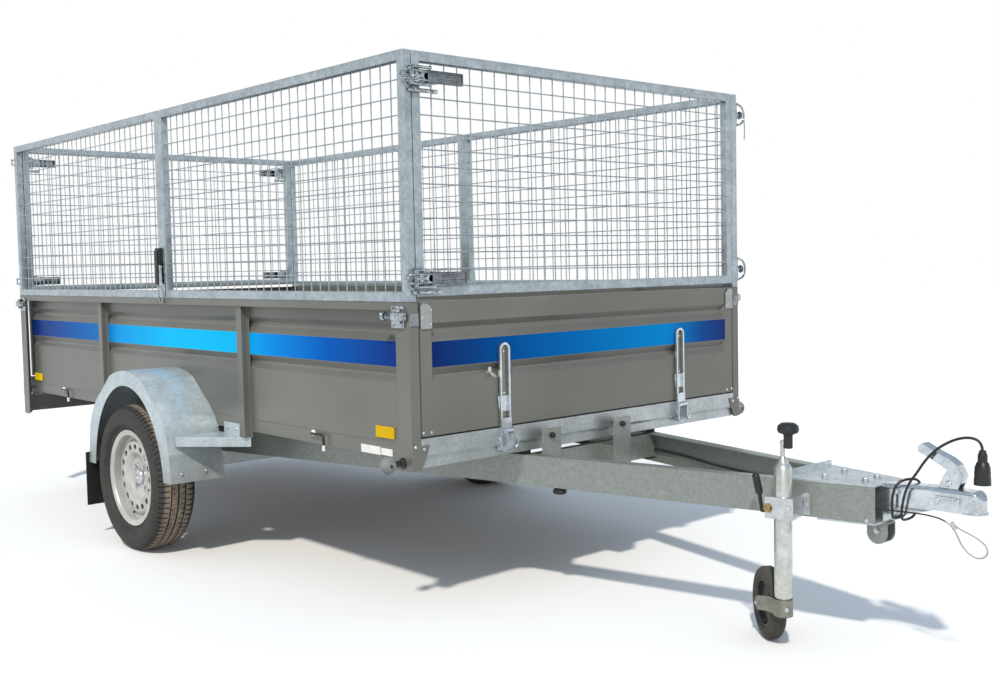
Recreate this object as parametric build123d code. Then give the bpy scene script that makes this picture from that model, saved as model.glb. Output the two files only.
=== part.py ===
"""Single-axle utility trailer with drop-down end gates, mesh sides and a tipping bed.

Millimetres. X runs forwards to the coupling, Y to the left, Z up. The origin is on
the ground under the middle of the trailer's length and width. The bed, with its
axle, tips on two pins near the axle; the drawbar is an A-frame of folded channel
that carries the ball coupling and a jockey wheel.
"""
import os
from math import atan2, cos, degrees, hypot, pi, radians, sin, tan

from build123d import *

os.makedirs("parts", exist_ok=True)

# Bed
BED_LEN = 3078
BED_WID = 1560
SHEET = 3
POST_PROUD = 35
GATE_GAP = 5
WALL_TOP = 958
SIDE_LOW = 537
GATE_LOW = 567
POST_FOOT = 472
REAR_POST_FOOT = 385
RIM_HIGH = 24
RIM_LIP = 12
CORNER_SIDE = 65
CORNER_FACE = 35
GUSSET_WIDE = 65
POST_SIDE = 36
POST_DEEP = 25
POST_FLANGE = 14
POST_X = (987, 2170)
FLOOR_THICK = 12
FLOOR_TOP = 574
SILL_LOW = 492
SILL_IN = 35
SILL_WIDE = 45
JOIST_WIDE = 40
JOIST_GAP = (420, 960, 1850, 2180, 2620)
END_BEAM_LOW = 475
END_BEAM_STEP = 512
END_BEAM_DEEP = 60

# Pressed grooves of the walls: height of the mouth's top and foot, then of the bed
GROOVES = (
    (896, 843, 880, 864),
    (764, 719, 744, 736),
)
GROOVE_DEEP = 12
GROOVE_END = 42
GATE_EDGE = 24
LOCK_Z = 918

# Gate hinges
STRAP_Y = 422
STRAP_WIDE = 42
STRAP_TOP = 802
STRAP_PROUD = 12
STRAP_POCKET = 28
BUCKLE_WIDE = 56
BUCKLE_HIGH = 48
BUCKLE_UP = 60
BUCKLE_THICK = 5
GATE_PIN_OUT = 14
GATE_PIN_Z = 552
GATE_PIN_R = 4
KNUCKLE_R = 9
EAR_THICK = 4
PIN_CLEAR = 0.3

# Mesh sides
MESH_TOP = 1673
MESH_TUBE = 30
MESH_END_LOW = 972
MESH_PITCH = 50
WIRE = 4
MESH_GAP = 2
TUBE_GROOVE = 2
LATCH_Z = (MESH_END_LOW + 53, MESH_TOP - 73)
LATCH_LONG = 170
LATCH_HIGH = 42
LATCH_PROUD = 26

# Wheels and axle
WHEEL_R = 277.5
TYRE_WIDE = 158
SEAT_R = 165
FLANGE_R = 182.5
RIM_WIDE = 122
RIM_WALL = 4
WHEEL_OFFSET = 14
WHEEL_Y = 868
AXLE_BACK = 1565
ARM_LONG = 120
ARM_DROP = 56
AXLE_TUBE = 60
AXLE_TUBE_HALF = 640
AXLE_TUBE_WALL = 5
ARM_THICK = 30
BRACKET_AHEAD = 100
BRACKET_Y = 520
STUB_R = 17
HUB_R = 42
HUB_FLANGE_R = 66
HUB_FLANGE = 10
BOLT_HEAD_R = 10
BOLT_HEAD = 13
BOLT_PCD = 100
BOLT_R = 6.5
SLOTS = 16
SLOT_LONG = 27
SLOT_WIDE = 16
SLOT_PCD = 236

# Mudguards: half the width and the height above the wheel's centre of the arch's corners
GUARD_OUT = 955
GUARD_AHEAD = 38
GUARD_FOOT = (357, 28)
GUARD_SHOULDER = (343, 130)
GUARD_SLOPE = (228, 312)
GUARD_CROWN = (140, 383)
GUARD_TOP = 413
GUARD_BULGE = 19
ARCH_HALF = 297
ARCH_HIGH = 357
FLAP_LOW = 132
FLAP_THICK = 6
FLAP_SEAT = 0.3
FLAP_LAP = 40
FLAP_OUT = 968
STEP_LIP = 32
STEP_REACH = 218
STEP_IN = 28
STEP_UPSTAND = 40

# Drawbar
BEAM_HIGH = 96
BEAM_FLANGE = 40
BEAM_SHEET = 4
BEAM_TOP = 461
BEAM_NOSE = 1044
BEAM_NOSE_Y = 70
BEAM_SPLAY = 13.2
PIVOT_AHEAD = 170
BUSH_R = 22
BUSH_LONG = 88
PIVOT_PIN_R = 8
EAR_WIDE = 80
CROSS_X = -18
CROSS_DEEP = 30
LOCK_Y = (-257, 74)
LOCK_WIDE = 84
LOCK_TOP = 545
LOCK_PIN_Z = 522
LOCK_PIN_R = 9
LOCK_PROUD = 42
PAD_R = 15
REST_GAP = 0.3
LOCK_PIN_START = 5
HEAD_BACK = 790
HEAD_PLATE = 5

# Ball coupling
COUPLING_TIP = 1309
BALL_R = 25
BALL_BACK = 34
BALL_Z = 430
SHELL = 4
NECK_WIDE = 60
NECK_LOW = 392
NECK_TOP = 466
HEAD_TOP = 473
HEAD_LOW = 416
HEAD_ROUND = 12
LEVER_WIDE = 34
NECK_TAPER = 80
NOSE_R = 30
SOCKET_UP = 6
SOCKET_CLEAR = 0.4
TONGUE = 60

# Jockey wheel
JOCKEY_BACK = 838
JOCKEY_OUT = 180
JOCKEY_R = 24
JOCKEY_INNER_R = 20
JOCKEY_TOP = 516
JOCKEY_LOW = 153
NOTCH = (12, 22)
JOCKEY_WHEEL_R = 100
JOCKEY_WHEEL_WIDE = 50
JOCKEY_TRAIL = 130
JOCKEY_TURN = 141.2
FORK_LOW = 106
FORK_HIGH = 42
FORK_EYE = 20
FORK_SHEET = 4
CLAMP_LOW = 370
CLAMP_HIGH = 58
CLAMP_WIDE = 78
CLAMP_PLATE = 14
RUN_CLEAR = 0.5
CRANK_ARM = 17
CRANK_HIGH = 60
CRANK_BAR_R = 6
CRANK_PIN_R = 5
CRANK_PIN_TOP = 100
KNOB_UP = 42
AXLE_R = 6

# Rear end
LAMP_LONG = 200
LAMP_HIGH = 76
LAMP_PROUD = 24
LAMP_Y = 600
REFLECTOR_BACK = (170, BED_LEN - 118)
REFLECTOR_Z = (549, 584)
MARKER_BACK = 42
MARKER_UP = 20
MARKER_Y = 836
MARKER_R = 26
MARKER_STEM_R = 9
MARKER_DEEP = 36

REAR_REACH = max(GATE_PIN_OUT + KNUCKLE_R, LAMP_PROUD, LATCH_PROUD)
FRONT = (BED_LEN + REAR_REACH + COUPLING_TIP) / 2 - COUPLING_TIP
REAR = FRONT - BED_LEN
HALF = BED_WID / 2
AXLE_X = FRONT - AXLE_BACK
PIVOT_X = AXLE_X + PIVOT_AHEAD
PIVOT_Z = BEAM_TOP - BEAM_HIGH / 2
FLOOR_LOW = FLOOR_TOP - FLOOR_THICK
SIDES = {"right": -1, "left": 1}
ON_FOOT = (Align.CENTER, Align.CENTER, Align.MIN)


def save(name, shape):
    """Write one piece, or a group of like pieces, to its own file."""
    shape = shape if isinstance(shape, (Part, Compound, Solid)) else Compound(list(shape))
    shape.label = name
    export_step(shape, f"parts/{name}.step")


def block(x, y, z):
    """A box given by its ranges along the three axes."""
    size = [high - low for low, high in (x, y, z)]
    centre = [(high + low) / 2 for low, high in (x, y, z)]
    return Pos(*centre) * Box(*size)


def rod(start, end, radius):
    """A round bar between two points."""
    start, end = Vector(*start), Vector(*end)
    along = end - start
    plane = Plane(origin=start, z_dir=along)
    return extrude(plane * Circle(radius), amount=along.length)


def folded(line, sheet):
    """The closed outline of a sheet folded along a line, a sheet's thickness to the line's left."""
    inner = []
    for i, (u, v) in enumerate(line):
        normals = []
        for (u1, v1), (u2, v2) in (line[max(i - 1, 0):][:2], line[min(i, len(line) - 2):][:2]):
            run = hypot(u2 - u1, v2 - v1)
            normals.append(((v1 - v2) / run, (u2 - u1) / run))
        (a, b), (c, d) = normals
        share = sheet / (1 + a * c + b * d)
        inner.append((u + share * (a + c), v + share * (b + d)))
    return make_face(Polyline(*line, *reversed(inner), close=True))


def mirrored(shape):
    """The same piece on the other side of the trailer."""
    return mirror(shape, about=Plane.XZ)


def frustum(length, top, foot, bed_top, bed_foot, out, deep):
    """A pressed groove with mitred ends, its mouth in the plane y = out."""
    mouth = Plane(origin=(0, out, (top + foot) / 2), z_dir=(0, 1, 0), x_dir=(1, 0, 0))
    bed = Plane(origin=(0, out + deep, (bed_top + bed_foot) / 2), z_dir=(0, 1, 0), x_dir=(1, 0, 0))
    return loft([mouth * Rectangle(length, top - foot),
                 bed * Rectangle(length - 2 * deep, bed_top - bed_foot)], ruled=True)


def side_wall():
    """A side's roll-formed sheet, with a rim that stands out over it and two grooves."""
    face = POST_PROUD
    line = [(face, SIDE_LOW)]
    for top, foot, bed_top, bed_foot in reversed(GROOVES):
        line += [(face, foot), (face + GROOVE_DEEP, bed_foot), (face + GROOVE_DEEP, bed_top), (face, top)]
    crest, lip = WALL_TOP - SHEET, WALL_TOP - RIM_HIGH + SHEET
    line += [(face, crest), (SHEET, crest), (SHEET, lip), (face - RIM_LIP, lip)]
    section = folded(line, -SHEET)
    plane = Plane(origin=(REAR + CORNER_SIDE, -HALF, 0), x_dir=(0, 1, 0), z_dir=(1, 0, 0))
    return extrude(plane * section, amount=BED_LEN - 2 * CORNER_SIDE)


def gate():
    """An end gate: a tray of folded sheet with its grooves pressed in, outer face at y = 0."""
    wide = BED_WID - 2 * CORNER_FACE - 2 * GATE_GAP
    body = block((-wide / 2, wide / 2), (0, GATE_EDGE), (GATE_LOW, WALL_TOP))
    body -= block((SHEET - wide / 2, wide / 2 - SHEET), (SHEET, GATE_EDGE),
                  (GATE_LOW + SHEET, WALL_TOP - SHEET))
    long = wide - 2 * GROOVE_END
    for top, foot, bed_top, bed_foot in GROOVES:
        body += frustum(long + 2 * SHEET, top + SHEET, foot - SHEET, bed_top + SHEET, bed_foot - SHEET,
                        0.01, GROOVE_DEEP + SHEET)
        body -= frustum(long, top, foot, bed_top, bed_foot, 0, GROOVE_DEEP)
    return body


def strap(y):
    """A long hinge strap: a channel pressed open outwards, with its buckle plate and knuckle."""
    low = GATE_PIN_Z
    half = STRAP_WIDE / 2
    middle = (STRAP_TOP + low) / 2
    long = STRAP_TOP - low
    outline = Pos(y, middle) * SlotOverall(long + STRAP_WIDE, STRAP_WIDE, rotation=90)
    pocket = Pos(y, middle) * SlotOverall(long + STRAP_POCKET, STRAP_POCKET, rotation=90)
    plate = extrude(Plane.XZ * outline, amount=STRAP_PROUD)
    plate -= extrude(Plane.XZ.offset(SHEET) * pocket, amount=STRAP_PROUD)
    plate &= block((y - half, y + half), (-GATE_PIN_OUT, 0), (low + KNUCKLE_R - 2, STRAP_TOP + half))
    foot, top, wide = low + BUCKLE_UP, low + BUCKLE_UP + BUCKLE_HIGH, BUCKLE_WIDE / 2
    buckle = Polyline((y - wide, top), (y + wide, top), (y + half, foot), (y - half, foot), close=True)
    plate += extrude(Plane.XZ * make_face(buckle), amount=BUCKLE_THICK)
    knuckle = rod((y - half, -GATE_PIN_OUT, GATE_PIN_Z), (y + half, -GATE_PIN_OUT, GATE_PIN_Z), KNUCKLE_R)
    knuckle += block((y - half, y + half), (-GATE_PIN_OUT, -GATE_PIN_OUT + 6), (low, low + 40))
    body = plate + knuckle
    body -= block((y - half - 1, y + half + 1), (0, GATE_PIN_OUT), (low - GATE_PIN_OUT, STRAP_TOP + half))
    return body - rod((y - half - 1, -GATE_PIN_OUT, GATE_PIN_Z), (y + half + 1, -GATE_PIN_OUT, GATE_PIN_Z),
                      GATE_PIN_R + PIN_CLEAR)


def hinge_bracket(y):
    """The hinge's fixed half on the end beam: a flared plate, two ears and the pin."""
    half = STRAP_WIDE / 2
    low = END_BEAM_STEP - 18
    body = block((y - half - 6, y + half + 6), (-SHEET, 0), (low, GATE_PIN_Z - KNUCKLE_R - 2))
    for side in (-1, 1):
        inner = y + side * (half + 1)
        outer = inner + side * EAR_THICK
        body += block((min(inner, outer), max(inner, outer)), (-GATE_PIN_OUT - 8, 0), (low, GATE_PIN_Z + 8))
    lip = half + 1
    body += block((y - lip, y + lip), (-GATE_PIN_OUT - 8, 0), (low, low + SHEET))
    return body + rod((y - half - 3, -GATE_PIN_OUT, GATE_PIN_Z), (y + half + 3, -GATE_PIN_OUT, GATE_PIN_Z),
                      GATE_PIN_R)


def at_front(shape):
    """Turn a piece drawn facing -Y so that it faces forwards at the bed's front."""
    return Pos(FRONT, 0, 0) * Rot(0, 0, 90) * shape


def at_rear(shape):
    """Turn a piece drawn facing -Y so that it faces backwards at the bed's rear."""
    return Pos(REAR, 0, 0) * Rot(0, 0, -90) * shape


def end_beam():
    """A folded beam across the bed's end, its face stepped back below the middle."""
    step = 8
    line = [(END_BEAM_DEEP, FLOOR_LOW), (0, FLOOR_LOW), (0, END_BEAM_STEP), (step, END_BEAM_STEP - step),
            (step, END_BEAM_LOW), (END_BEAM_DEEP, END_BEAM_LOW)]
    section = folded(line, SHEET)
    long = BED_WID - 2 * CORNER_FACE
    plane = Plane(origin=(-long / 2, 0, 0), x_dir=(0, 1, 0), z_dir=(1, 0, 0))
    return extrude(plane * section, amount=long)


def sill():
    """The folded channel under the right side wall, open towards the middle."""
    line = [(SILL_WIDE, SIDE_LOW), (0, SIDE_LOW), (0, SILL_LOW), (SILL_WIDE, SILL_LOW)]
    plane = Plane(origin=(REAR + END_BEAM_DEEP, SILL_IN - HALF, 0), x_dir=(0, 1, 0), z_dir=(1, 0, 0))
    return extrude(plane * folded(line, SHEET), amount=BED_LEN - 2 * END_BEAM_DEEP)


def cross_rail(half):
    """A hat-section rail that carries the floor between the sills, drawn at x = 0."""
    wide = JOIST_WIDE / 2
    line = [(-wide - 14, SILL_LOW + SHEET), (-wide, SILL_LOW + SHEET), (-wide, FLOOR_LOW), (wide, FLOOR_LOW),
            (wide, SILL_LOW + SHEET), (wide + 14, SILL_LOW + SHEET)]
    plane = Plane(origin=(0, half, 0), x_dir=(1, 0, 0), z_dir=(0, -1, 0))
    return extrude(plane * folded(line, -SHEET), amount=2 * half)


def corner_post(foot):
    """A corner post of folded sheet with a riveted gusset at its foot, at the right front corner."""
    line = [(0, CORNER_SIDE), (0, 0), (CORNER_FACE, 0)]
    plane = Plane(origin=(FRONT, -HALF, foot), x_dir=(0, 1, 0), z_dir=(0, 0, 1))
    body = extrude(plane * folded(line, SHEET), amount=WALL_TOP - foot)
    top = GATE_PIN_Z - KNUCKLE_R
    gusset = Polyline((-HALF, top), (GUSSET_WIDE - HALF, top), (GUSSET_WIDE - HALF - 6, top - 18),
                      (CORNER_FACE - HALF, END_BEAM_LOW), (-HALF, END_BEAM_LOW), close=True)
    face = Plane(origin=(FRONT, 0, 0), x_dir=(0, 1, 0), z_dir=(1, 0, 0))
    return body + extrude(face * make_face(gusset), amount=SHEET)


def side_post(back):
    """A hat-section post over the right side wall and down past its sill."""
    x = FRONT - back
    flange = POST_FLANGE
    half = POST_SIDE / 2
    face = POST_PROUD - POST_DEEP
    line = [(-half - flange, POST_PROUD - SHEET), (-half, POST_PROUD - SHEET), (-half, face), (half, face),
            (half, POST_PROUD - SHEET), (half + flange, POST_PROUD - SHEET)]
    plane = Plane(origin=(x, -HALF, POST_FOOT), x_dir=(1, 0, 0), z_dir=(0, 0, 1))
    return extrude(plane * folded(line, SHEET), amount=WALL_TOP - RIM_HIGH - POST_FOOT)


def mesh_panel(long, low, middle):
    """A frame of square tube with wires at a pitch both ways, outer face at y = 0."""
    high = MESH_TOP - low
    tube = MESH_TUBE
    body = block((-long / 2, long / 2), (0, tube), (low, MESH_TOP))
    frames = 2 if middle else 1
    bay = long / frames - 2 * tube
    for i in range(frames):
        left = -long / 2 + tube + i * long / frames
        body -= block((left, left + bay), (0, tube), (low + tube, MESH_TOP - tube))
    if middle:
        body -= block((-TUBE_GROOVE, TUBE_GROOVE), (0, 2 * TUBE_GROOVE), (low + tube, MESH_TOP - tube))
    wires = []
    count = round(long / MESH_PITCH) - 1
    for i in range(1, count + 1):
        x = -long / 2 + i * long / (count + 1)
        if middle and abs(x) < tube + WIRE:
            continue
        wires.append(block((x - WIRE / 2, x + WIRE / 2), (tube / 2 - WIRE - 0.1, tube / 2 - 0.1),
                           (low + tube - 1, MESH_TOP - tube + 1)))
    rows = round(high / MESH_PITCH) - 1
    for i in range(1, rows + 1):
        z = low + i * high / (rows + 1)
        reach = long / 2 - tube + 1
        deep = (tube / 2 + 0.1, tube / 2 + WIRE + 0.1)
        wires.append(block((-reach, reach), deep, (z - WIRE / 2, z + WIRE / 2)))
    return body + wires


def mesh_latch(z):
    """An over-centre latch over a corner of the mesh, drawn at the right corner facing -Y."""
    x = BED_WID / 2 - MESH_TUBE / 2
    half = LATCH_HIGH / 2
    near, far = x - 44, x - LATCH_LONG
    base = block((far + 30, x - 20), (-4, 0), (z - half + 8, z + half - 8))
    lever = block((far + 12, near), (-LATCH_PROUD, -10), (z - half + 4, z + half - 4))
    lever = fillet(lever.edges().filter_by(Axis.Y), 8)
    pivot = block((near - 26, near), (-LATCH_PROUD + 4, 0), (z - half, z + half))
    hook = block((near - 6, x + 10), (-16, -8), (z - 7, z + 7))
    hook += block((x - 2, x + 10), (-16, 0), (z - 12, z + 12))
    return base + lever + pivot + hook


def gate_lock():
    """The sprung lock of a gate on the corner post's side, drawn at the right front corner."""
    z = LOCK_Z
    y = -HALF
    body = block((FRONT - 78, FRONT - 18), (y - 6, y), (z - 34, z + 30))
    body += block((FRONT - 62, FRONT - 2), (y - 24, y - 6), (z - 14, z + 14))
    body += rod((FRONT - 60, y - 15, z), (FRONT - 102, y - 15, z), 7)
    return body + rod((FRONT - 92, y - 15, z), (FRONT - 104, y - 15, z), 13)


def gate_keep():
    """The riveted plate on a gate's upper corner that the lock takes, facing -Y."""
    x = BED_WID / 2 - CORNER_FACE - GATE_GAP
    z = LOCK_Z
    outline = Polyline((x - 42, z + 20), (x - 28, z + 34), (x - 8, z + 37), (x, z + 30), (x, z - 38),
                       (x - 42, z - 38), close=True)
    return extrude(Plane.XZ * make_face(outline), amount=4)


def wheel_turn(side):
    """The place of a wheel that is drawn about Z with its outside up."""
    return Pos(AXLE_X, side * WHEEL_Y, WHEEL_R) * Rot(-90 * side, 0, 0)


def tyre():
    """A radial tyre, its section from bead to tread."""
    half = TYRE_WIDE / 2
    bead = RIM_WIDE / 2 - 11
    tread = half - 14
    line = [(SEAT_R + 0.3, -bead), (SEAT_R + 0.3, bead), (SEAT_R + 19, bead + 5), (SEAT_R + 38, half - 5),
            (SEAT_R + 62, half), (WHEEL_R - 16, tread + 6), (WHEEL_R - 4, tread - 6), (WHEEL_R, tread - 30)]
    line += [(r, -y) for r, y in reversed(line[2:])]
    return revolve(Plane.XZ * make_face(Polyline(*line, close=True)), Axis.Z)


def rim():
    """A pressed steel wheel: drop-centre barrel, dished disc, ring of slots and bolt holes."""
    half = RIM_WIDE / 2
    wall = RIM_WALL
    barrel = [(FLANGE_R, half), (SEAT_R + 14, half - 4), (SEAT_R + 2, half - 4), (SEAT_R, half - 9),
              (SEAT_R, 24), (SEAT_R - 14, 14), (SEAT_R - 14, -22), (SEAT_R, -30), (SEAT_R, 9 - half),
              (SEAT_R + 2, 4 - half), (SEAT_R + 14, 4 - half), (FLANGE_R, -half)]
    section = folded(barrel, -wall)
    face = WHEEL_OFFSET
    disc = [(HUB_R - 12, face), (BOLT_PCD / 2 + 24, face), (BOLT_PCD / 2 + 44, face + 18),
            (SLOT_PCD / 2 + 14, face + 10), (SEAT_R - 19, face - 8), (SEAT_R - 17, -18)]
    section += folded(disc, wall)
    body = revolve(Plane.XZ * section, Axis.Z)
    slot = extrude(SlotOverall(SLOT_LONG, SLOT_WIDE), amount=80)
    body -= [Rot(0, 0, 360 * i / SLOTS) * Pos(SLOT_PCD / 2, 0, 0) * slot for i in range(SLOTS)]
    body -= [Rot(0, 0, 45 + 90 * i) * Pos(BOLT_PCD / 2, 0, 0) * Cylinder(BOLT_R, 100) for i in range(4)]
    return body


def hub():
    """The hub behind the wheel, with its flange, dust cap and four wheel bolts."""
    back = WHEEL_Y - AXLE_TUBE_HALF - ARM_THICK - 6
    seat = WHEEL_OFFSET - HUB_FLANGE
    body = rod((0, 0, -back), (0, 0, seat), HUB_R - 2)
    body += rod((0, 0, seat), (0, 0, WHEEL_OFFSET), HUB_FLANGE_R)
    body += Pos(0, 0, WHEEL_OFFSET) * Cone(HUB_R - 13, HUB_R - 16, 24, align=ON_FOOT)
    for i in range(4):
        at = Rot(0, 0, 45 + 90 * i) * Pos(BOLT_PCD / 2, 0, WHEEL_OFFSET - 2)
        body += at * Cylinder(BOLT_R - 0.5, 8, align=ON_FOOT)
        bolt_head = extrude(RegularPolygon(BOLT_HEAD_R, 6), amount=BOLT_HEAD)
        body += at * Pos(0, 0, 2 + RIM_WALL + 0.2) * bolt_head
    return body - rod((0, 0, -back), (0, 0, seat + 2), STUB_R + PIN_CLEAR)


def torsion_arm():
    """The trailing arm and stub of the rubber-sprung axle, drawn on the right side."""
    y = -AXLE_TUBE_HALF
    tube_x, tube_z = AXLE_X + ARM_LONG, WHEEL_R + ARM_DROP
    turn = degrees(atan2(ARM_DROP, ARM_LONG))
    span = hypot(ARM_LONG, ARM_DROP)
    arm = SlotCenterToCenter(span, 74)
    arm = extrude(Plane.XZ * arm, amount=ARM_THICK)
    arm = Pos((tube_x + AXLE_X) / 2, y, (tube_z + WHEEL_R) / 2) * Rot(0, -turn, 0) * arm
    stub_end = -(WHEEL_Y + WHEEL_OFFSET - 14)
    return arm + rod((AXLE_X, y - ARM_THICK, WHEEL_R), (AXLE_X, stub_end, WHEEL_R), STUB_R)


def axle_tube():
    """The square axle tube across the bed, with the bracket plates that hang it from the sills."""
    x, z = AXLE_X + ARM_LONG, WHEEL_R + ARM_DROP
    half, hollow = AXLE_TUBE / 2, AXLE_TUBE / 2 - AXLE_TUBE_WALL
    along = (-AXLE_TUBE_HALF, AXLE_TUBE_HALF)
    body = block((x - half, x + half), along, (z - half, z + half))
    return body - block((x - hollow, x + hollow), along, (z - hollow, z + hollow))


def axle_bracket(side):
    """A folded bracket between the axle tube and the bed's cross rail."""
    z = WHEEL_R + ARM_DROP + AXLE_TUBE / 2
    y = side * BRACKET_Y
    x = AXLE_X + BRACKET_AHEAD
    body = block((x - 40, x + 40), (y - 30, y + 30), (z, z + 6))
    for edge in (-1, 1):
        body += block((x - 40, x + 40), (y + edge * 27 - 3, y + edge * 27 + 3), (z, SILL_LOW))
    return body


def guard_arch():
    """The mudguard's outside above its foot, about the wheel's centre."""
    (fx, fz), (sx, sz), (tx, tz), (cx, cz) = GUARD_FOOT, GUARD_SHOULDER, GUARD_SLOPE, GUARD_CROWN
    mx, mz = (sx + tx) / 2 + GUARD_BULGE, (sz + tz) / 2 + GUARD_BULGE
    side = [Line((fx, fz), (sx, sz)), ThreePointArc((sx, sz), (mx, mz), (tx, tz)), Line((tx, tz), (cx, cz))]
    other = [mirror(edge, about=Plane.YZ) for edge in side]
    crown = ThreePointArc((cx, cz), (0, GUARD_TOP), (-cx, cz))
    return make_face(Curve() + side + [crown] + other + [Line((-fx, fz), (fx, fz))])


def under_guard():
    """The space under the mudguard's skin, a sheet's thickness in from its outside."""
    arch = offset(guard_arch(), amount=-SHEET)
    return arch + Pos(0, GUARD_FOOT[1]) * Rectangle(2 * (GUARD_FOOT[0] - SHEET), 4 * SHEET)


def mudguard():
    """A pressed mudguard: an arched skin and an outer face with a round wheel opening, right side."""
    inner = HALF - POST_PROUD
    plane = Plane(origin=(AXLE_X + GUARD_AHEAD, -inner, WHEEL_R), x_dir=(1, 0, 0), z_dir=(0, -1, 0))
    wide = GUARD_OUT - inner
    skin = extrude(plane * guard_arch(), amount=wide)
    skin -= extrude(plane * under_guard(), amount=wide - SHEET)
    opening = plane.offset(wide - SHEET - 1) * Ellipse(ARCH_HALF, ARCH_HIGH)
    skin -= extrude(opening, amount=SHEET + 2)
    return skin


def mudflap():
    """The rubber flap bolted to the back of the mudguard's rear foot."""
    foot = WHEEL_R + GUARD_FOOT[1]
    x = AXLE_X + GUARD_AHEAD - GUARD_FOOT[0] - FLAP_SEAT
    return block((x - FLAP_THICK, x), (-FLAP_OUT, -HALF + 14), (FLAP_LOW, foot + FLAP_LAP))


def step_bracket():
    """The triangular step between the mudguard's front and the side, with a lip and an upstand."""
    step_z = POST_FOOT - SHEET
    rise = (step_z - STEP_LIP - WHEEL_R - GUARD_FOOT[1]) / (GUARD_SHOULDER[1] - GUARD_FOOT[1])
    front = AXLE_X + GUARD_AHEAD + GUARD_FOOT[0] + rise * (GUARD_SHOULDER[0] - GUARD_FOOT[0]) + REST_GAP
    y_in, y_out = POST_PROUD - HALF, STEP_IN - GUARD_OUT
    corners = [(front, y_in), (front, y_out), (front + 12, y_out), (front + STEP_REACH, y_in)]
    triangle = make_face(Polyline(*corners, close=True))
    plate = extrude(Plane.XY.offset(step_z) * triangle, amount=SHEET)
    low = Plane.XY.offset(step_z - STEP_LIP)
    inner = [(front - 1, y_in + 1), (front - 1, y_out + SHEET), (front + 11, y_out + SHEET),
             (front + STEP_REACH - 5, y_in + 1)]
    plate += extrude(low * triangle, amount=STEP_LIP)
    plate -= extrude(low * make_face(Polyline(*inner, close=True)), amount=STEP_LIP)
    post = FRONT - POST_X[0] - POST_SIDE / 2 - POST_FLANGE - REST_GAP
    foot = step_z + SHEET
    return plate + block((front + STEP_LIP, post), (y_in - SHEET, y_in), (foot, foot + STEP_UPSTAND))


def beam():
    """A folded channel of the A-frame, drawn on the right side, with its bush at the tipping pin."""
    splay = radians(BEAM_SPLAY)
    nose = Vector(FRONT + BEAM_NOSE, -BEAM_NOSE_Y)
    back_y = -(BEAM_NOSE_Y + (FRONT + BEAM_NOSE - PIVOT_X) * tan(splay))
    low = BEAM_TOP - BEAM_HIGH
    line = [(BEAM_FLANGE, low), (0, low), (0, BEAM_TOP), (BEAM_FLANGE, BEAM_TOP)]
    line = [(-u, v) for u, v in line]
    long = (nose.X - PIVOT_X + 60) / cos(splay)
    plane = Plane(origin=(nose.X, nose.Y, 0), x_dir=(sin(splay), -cos(splay), 0),
                  z_dir=(-cos(splay), -sin(splay), 0))
    section = folded(line, BEAM_SHEET)
    body = extrude(plane * section, amount=long)
    body = body & block((PIVOT_X - 8, FRONT + BEAM_NOSE), (-HALF, 0), (low, BEAM_TOP))
    centre = back_y + BEAM_FLANGE / 2
    reach = BUSH_LONG / 2
    body += rod((PIVOT_X, centre - reach, PIVOT_Z), (PIVOT_X, centre + reach, PIVOT_Z), BUSH_R)
    hole = PIVOT_PIN_R + PIN_CLEAR
    return body - rod((PIVOT_X, centre - 90, PIVOT_Z), (PIVOT_X, centre + 90, PIVOT_Z), hole)


def beam_y(x):
    """The outer face of the right beam at a place along the trailer."""
    return -(BEAM_NOSE_Y + (FRONT + BEAM_NOSE - x) * tan(radians(BEAM_SPLAY)))


def tilt_hinge():
    """The two ears and the pin that the drawbar's beam tips on, under a cross rail."""
    centre = beam_y(PIVOT_X) + BEAM_FLANGE / 2
    reach = BUSH_LONG / 2 + 1
    body = rod((PIVOT_X, centre - reach - 14, PIVOT_Z), (PIVOT_X, centre + reach + 14, PIVOT_Z), PIVOT_PIN_R)
    for side in (-1, 1):
        inner = centre + side * reach
        outer = inner + side * 6
        outline = Polyline((PIVOT_X - EAR_WIDE / 2, SILL_LOW), (PIVOT_X + EAR_WIDE / 2, SILL_LOW),
                           (PIVOT_X + 26, PIVOT_Z - 20), (PIVOT_X - 26, PIVOT_Z - 20), close=True)
        plane = Plane(origin=(0, max(inner, outer), 0), x_dir=(1, 0, 0), z_dir=(0, -1, 0))
        body += extrude(plane * make_face(outline), amount=6)
    return body


def crossmember():
    """The drawbar's cross rail under the bed's front, with its two upright lock brackets."""
    x = FRONT + CROSS_X
    low = BEAM_TOP - BEAM_HIGH + 10
    top = BEAM_TOP - BEAM_SHEET
    back, front = beam_y(x - CROSS_DEEP), beam_y(x)
    web = BEAM_SHEET / cos(radians(BEAM_SPLAY))
    outline = Polyline((x - CROSS_DEEP, back + web), (x, front + web), (x, -front - web),
                       (x - CROSS_DEEP, -back - web), close=True)
    body = extrude(Plane.XY.offset(low) * make_face(outline), amount=top - low)
    body -= block((x - CROSS_DEEP, x - BEAM_SHEET), (back, -back), (low + BEAM_SHEET, top - BEAM_SHEET))
    for y in LOCK_Y:
        half = LOCK_WIDE / 2
        post = block((x, FRONT + LOCK_PROUD), (y - half, y + half), (low, LOCK_TOP))
        post -= block((x, FRONT + LOCK_PROUD - SHEET), (y - half, y + half), (BEAM_TOP - 8, LOCK_TOP))
        post -= block((x, FRONT + LOCK_PROUD - SHEET), (y - half + SHEET, y + half - SHEET), (low, BEAM_TOP))
        body += post
        body -= rod((x, y, LOCK_PIN_Z), (FRONT + LOCK_PROUD + 1, y, LOCK_PIN_Z), LOCK_PIN_R + PIN_CLEAR)
    return body - beam()


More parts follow.
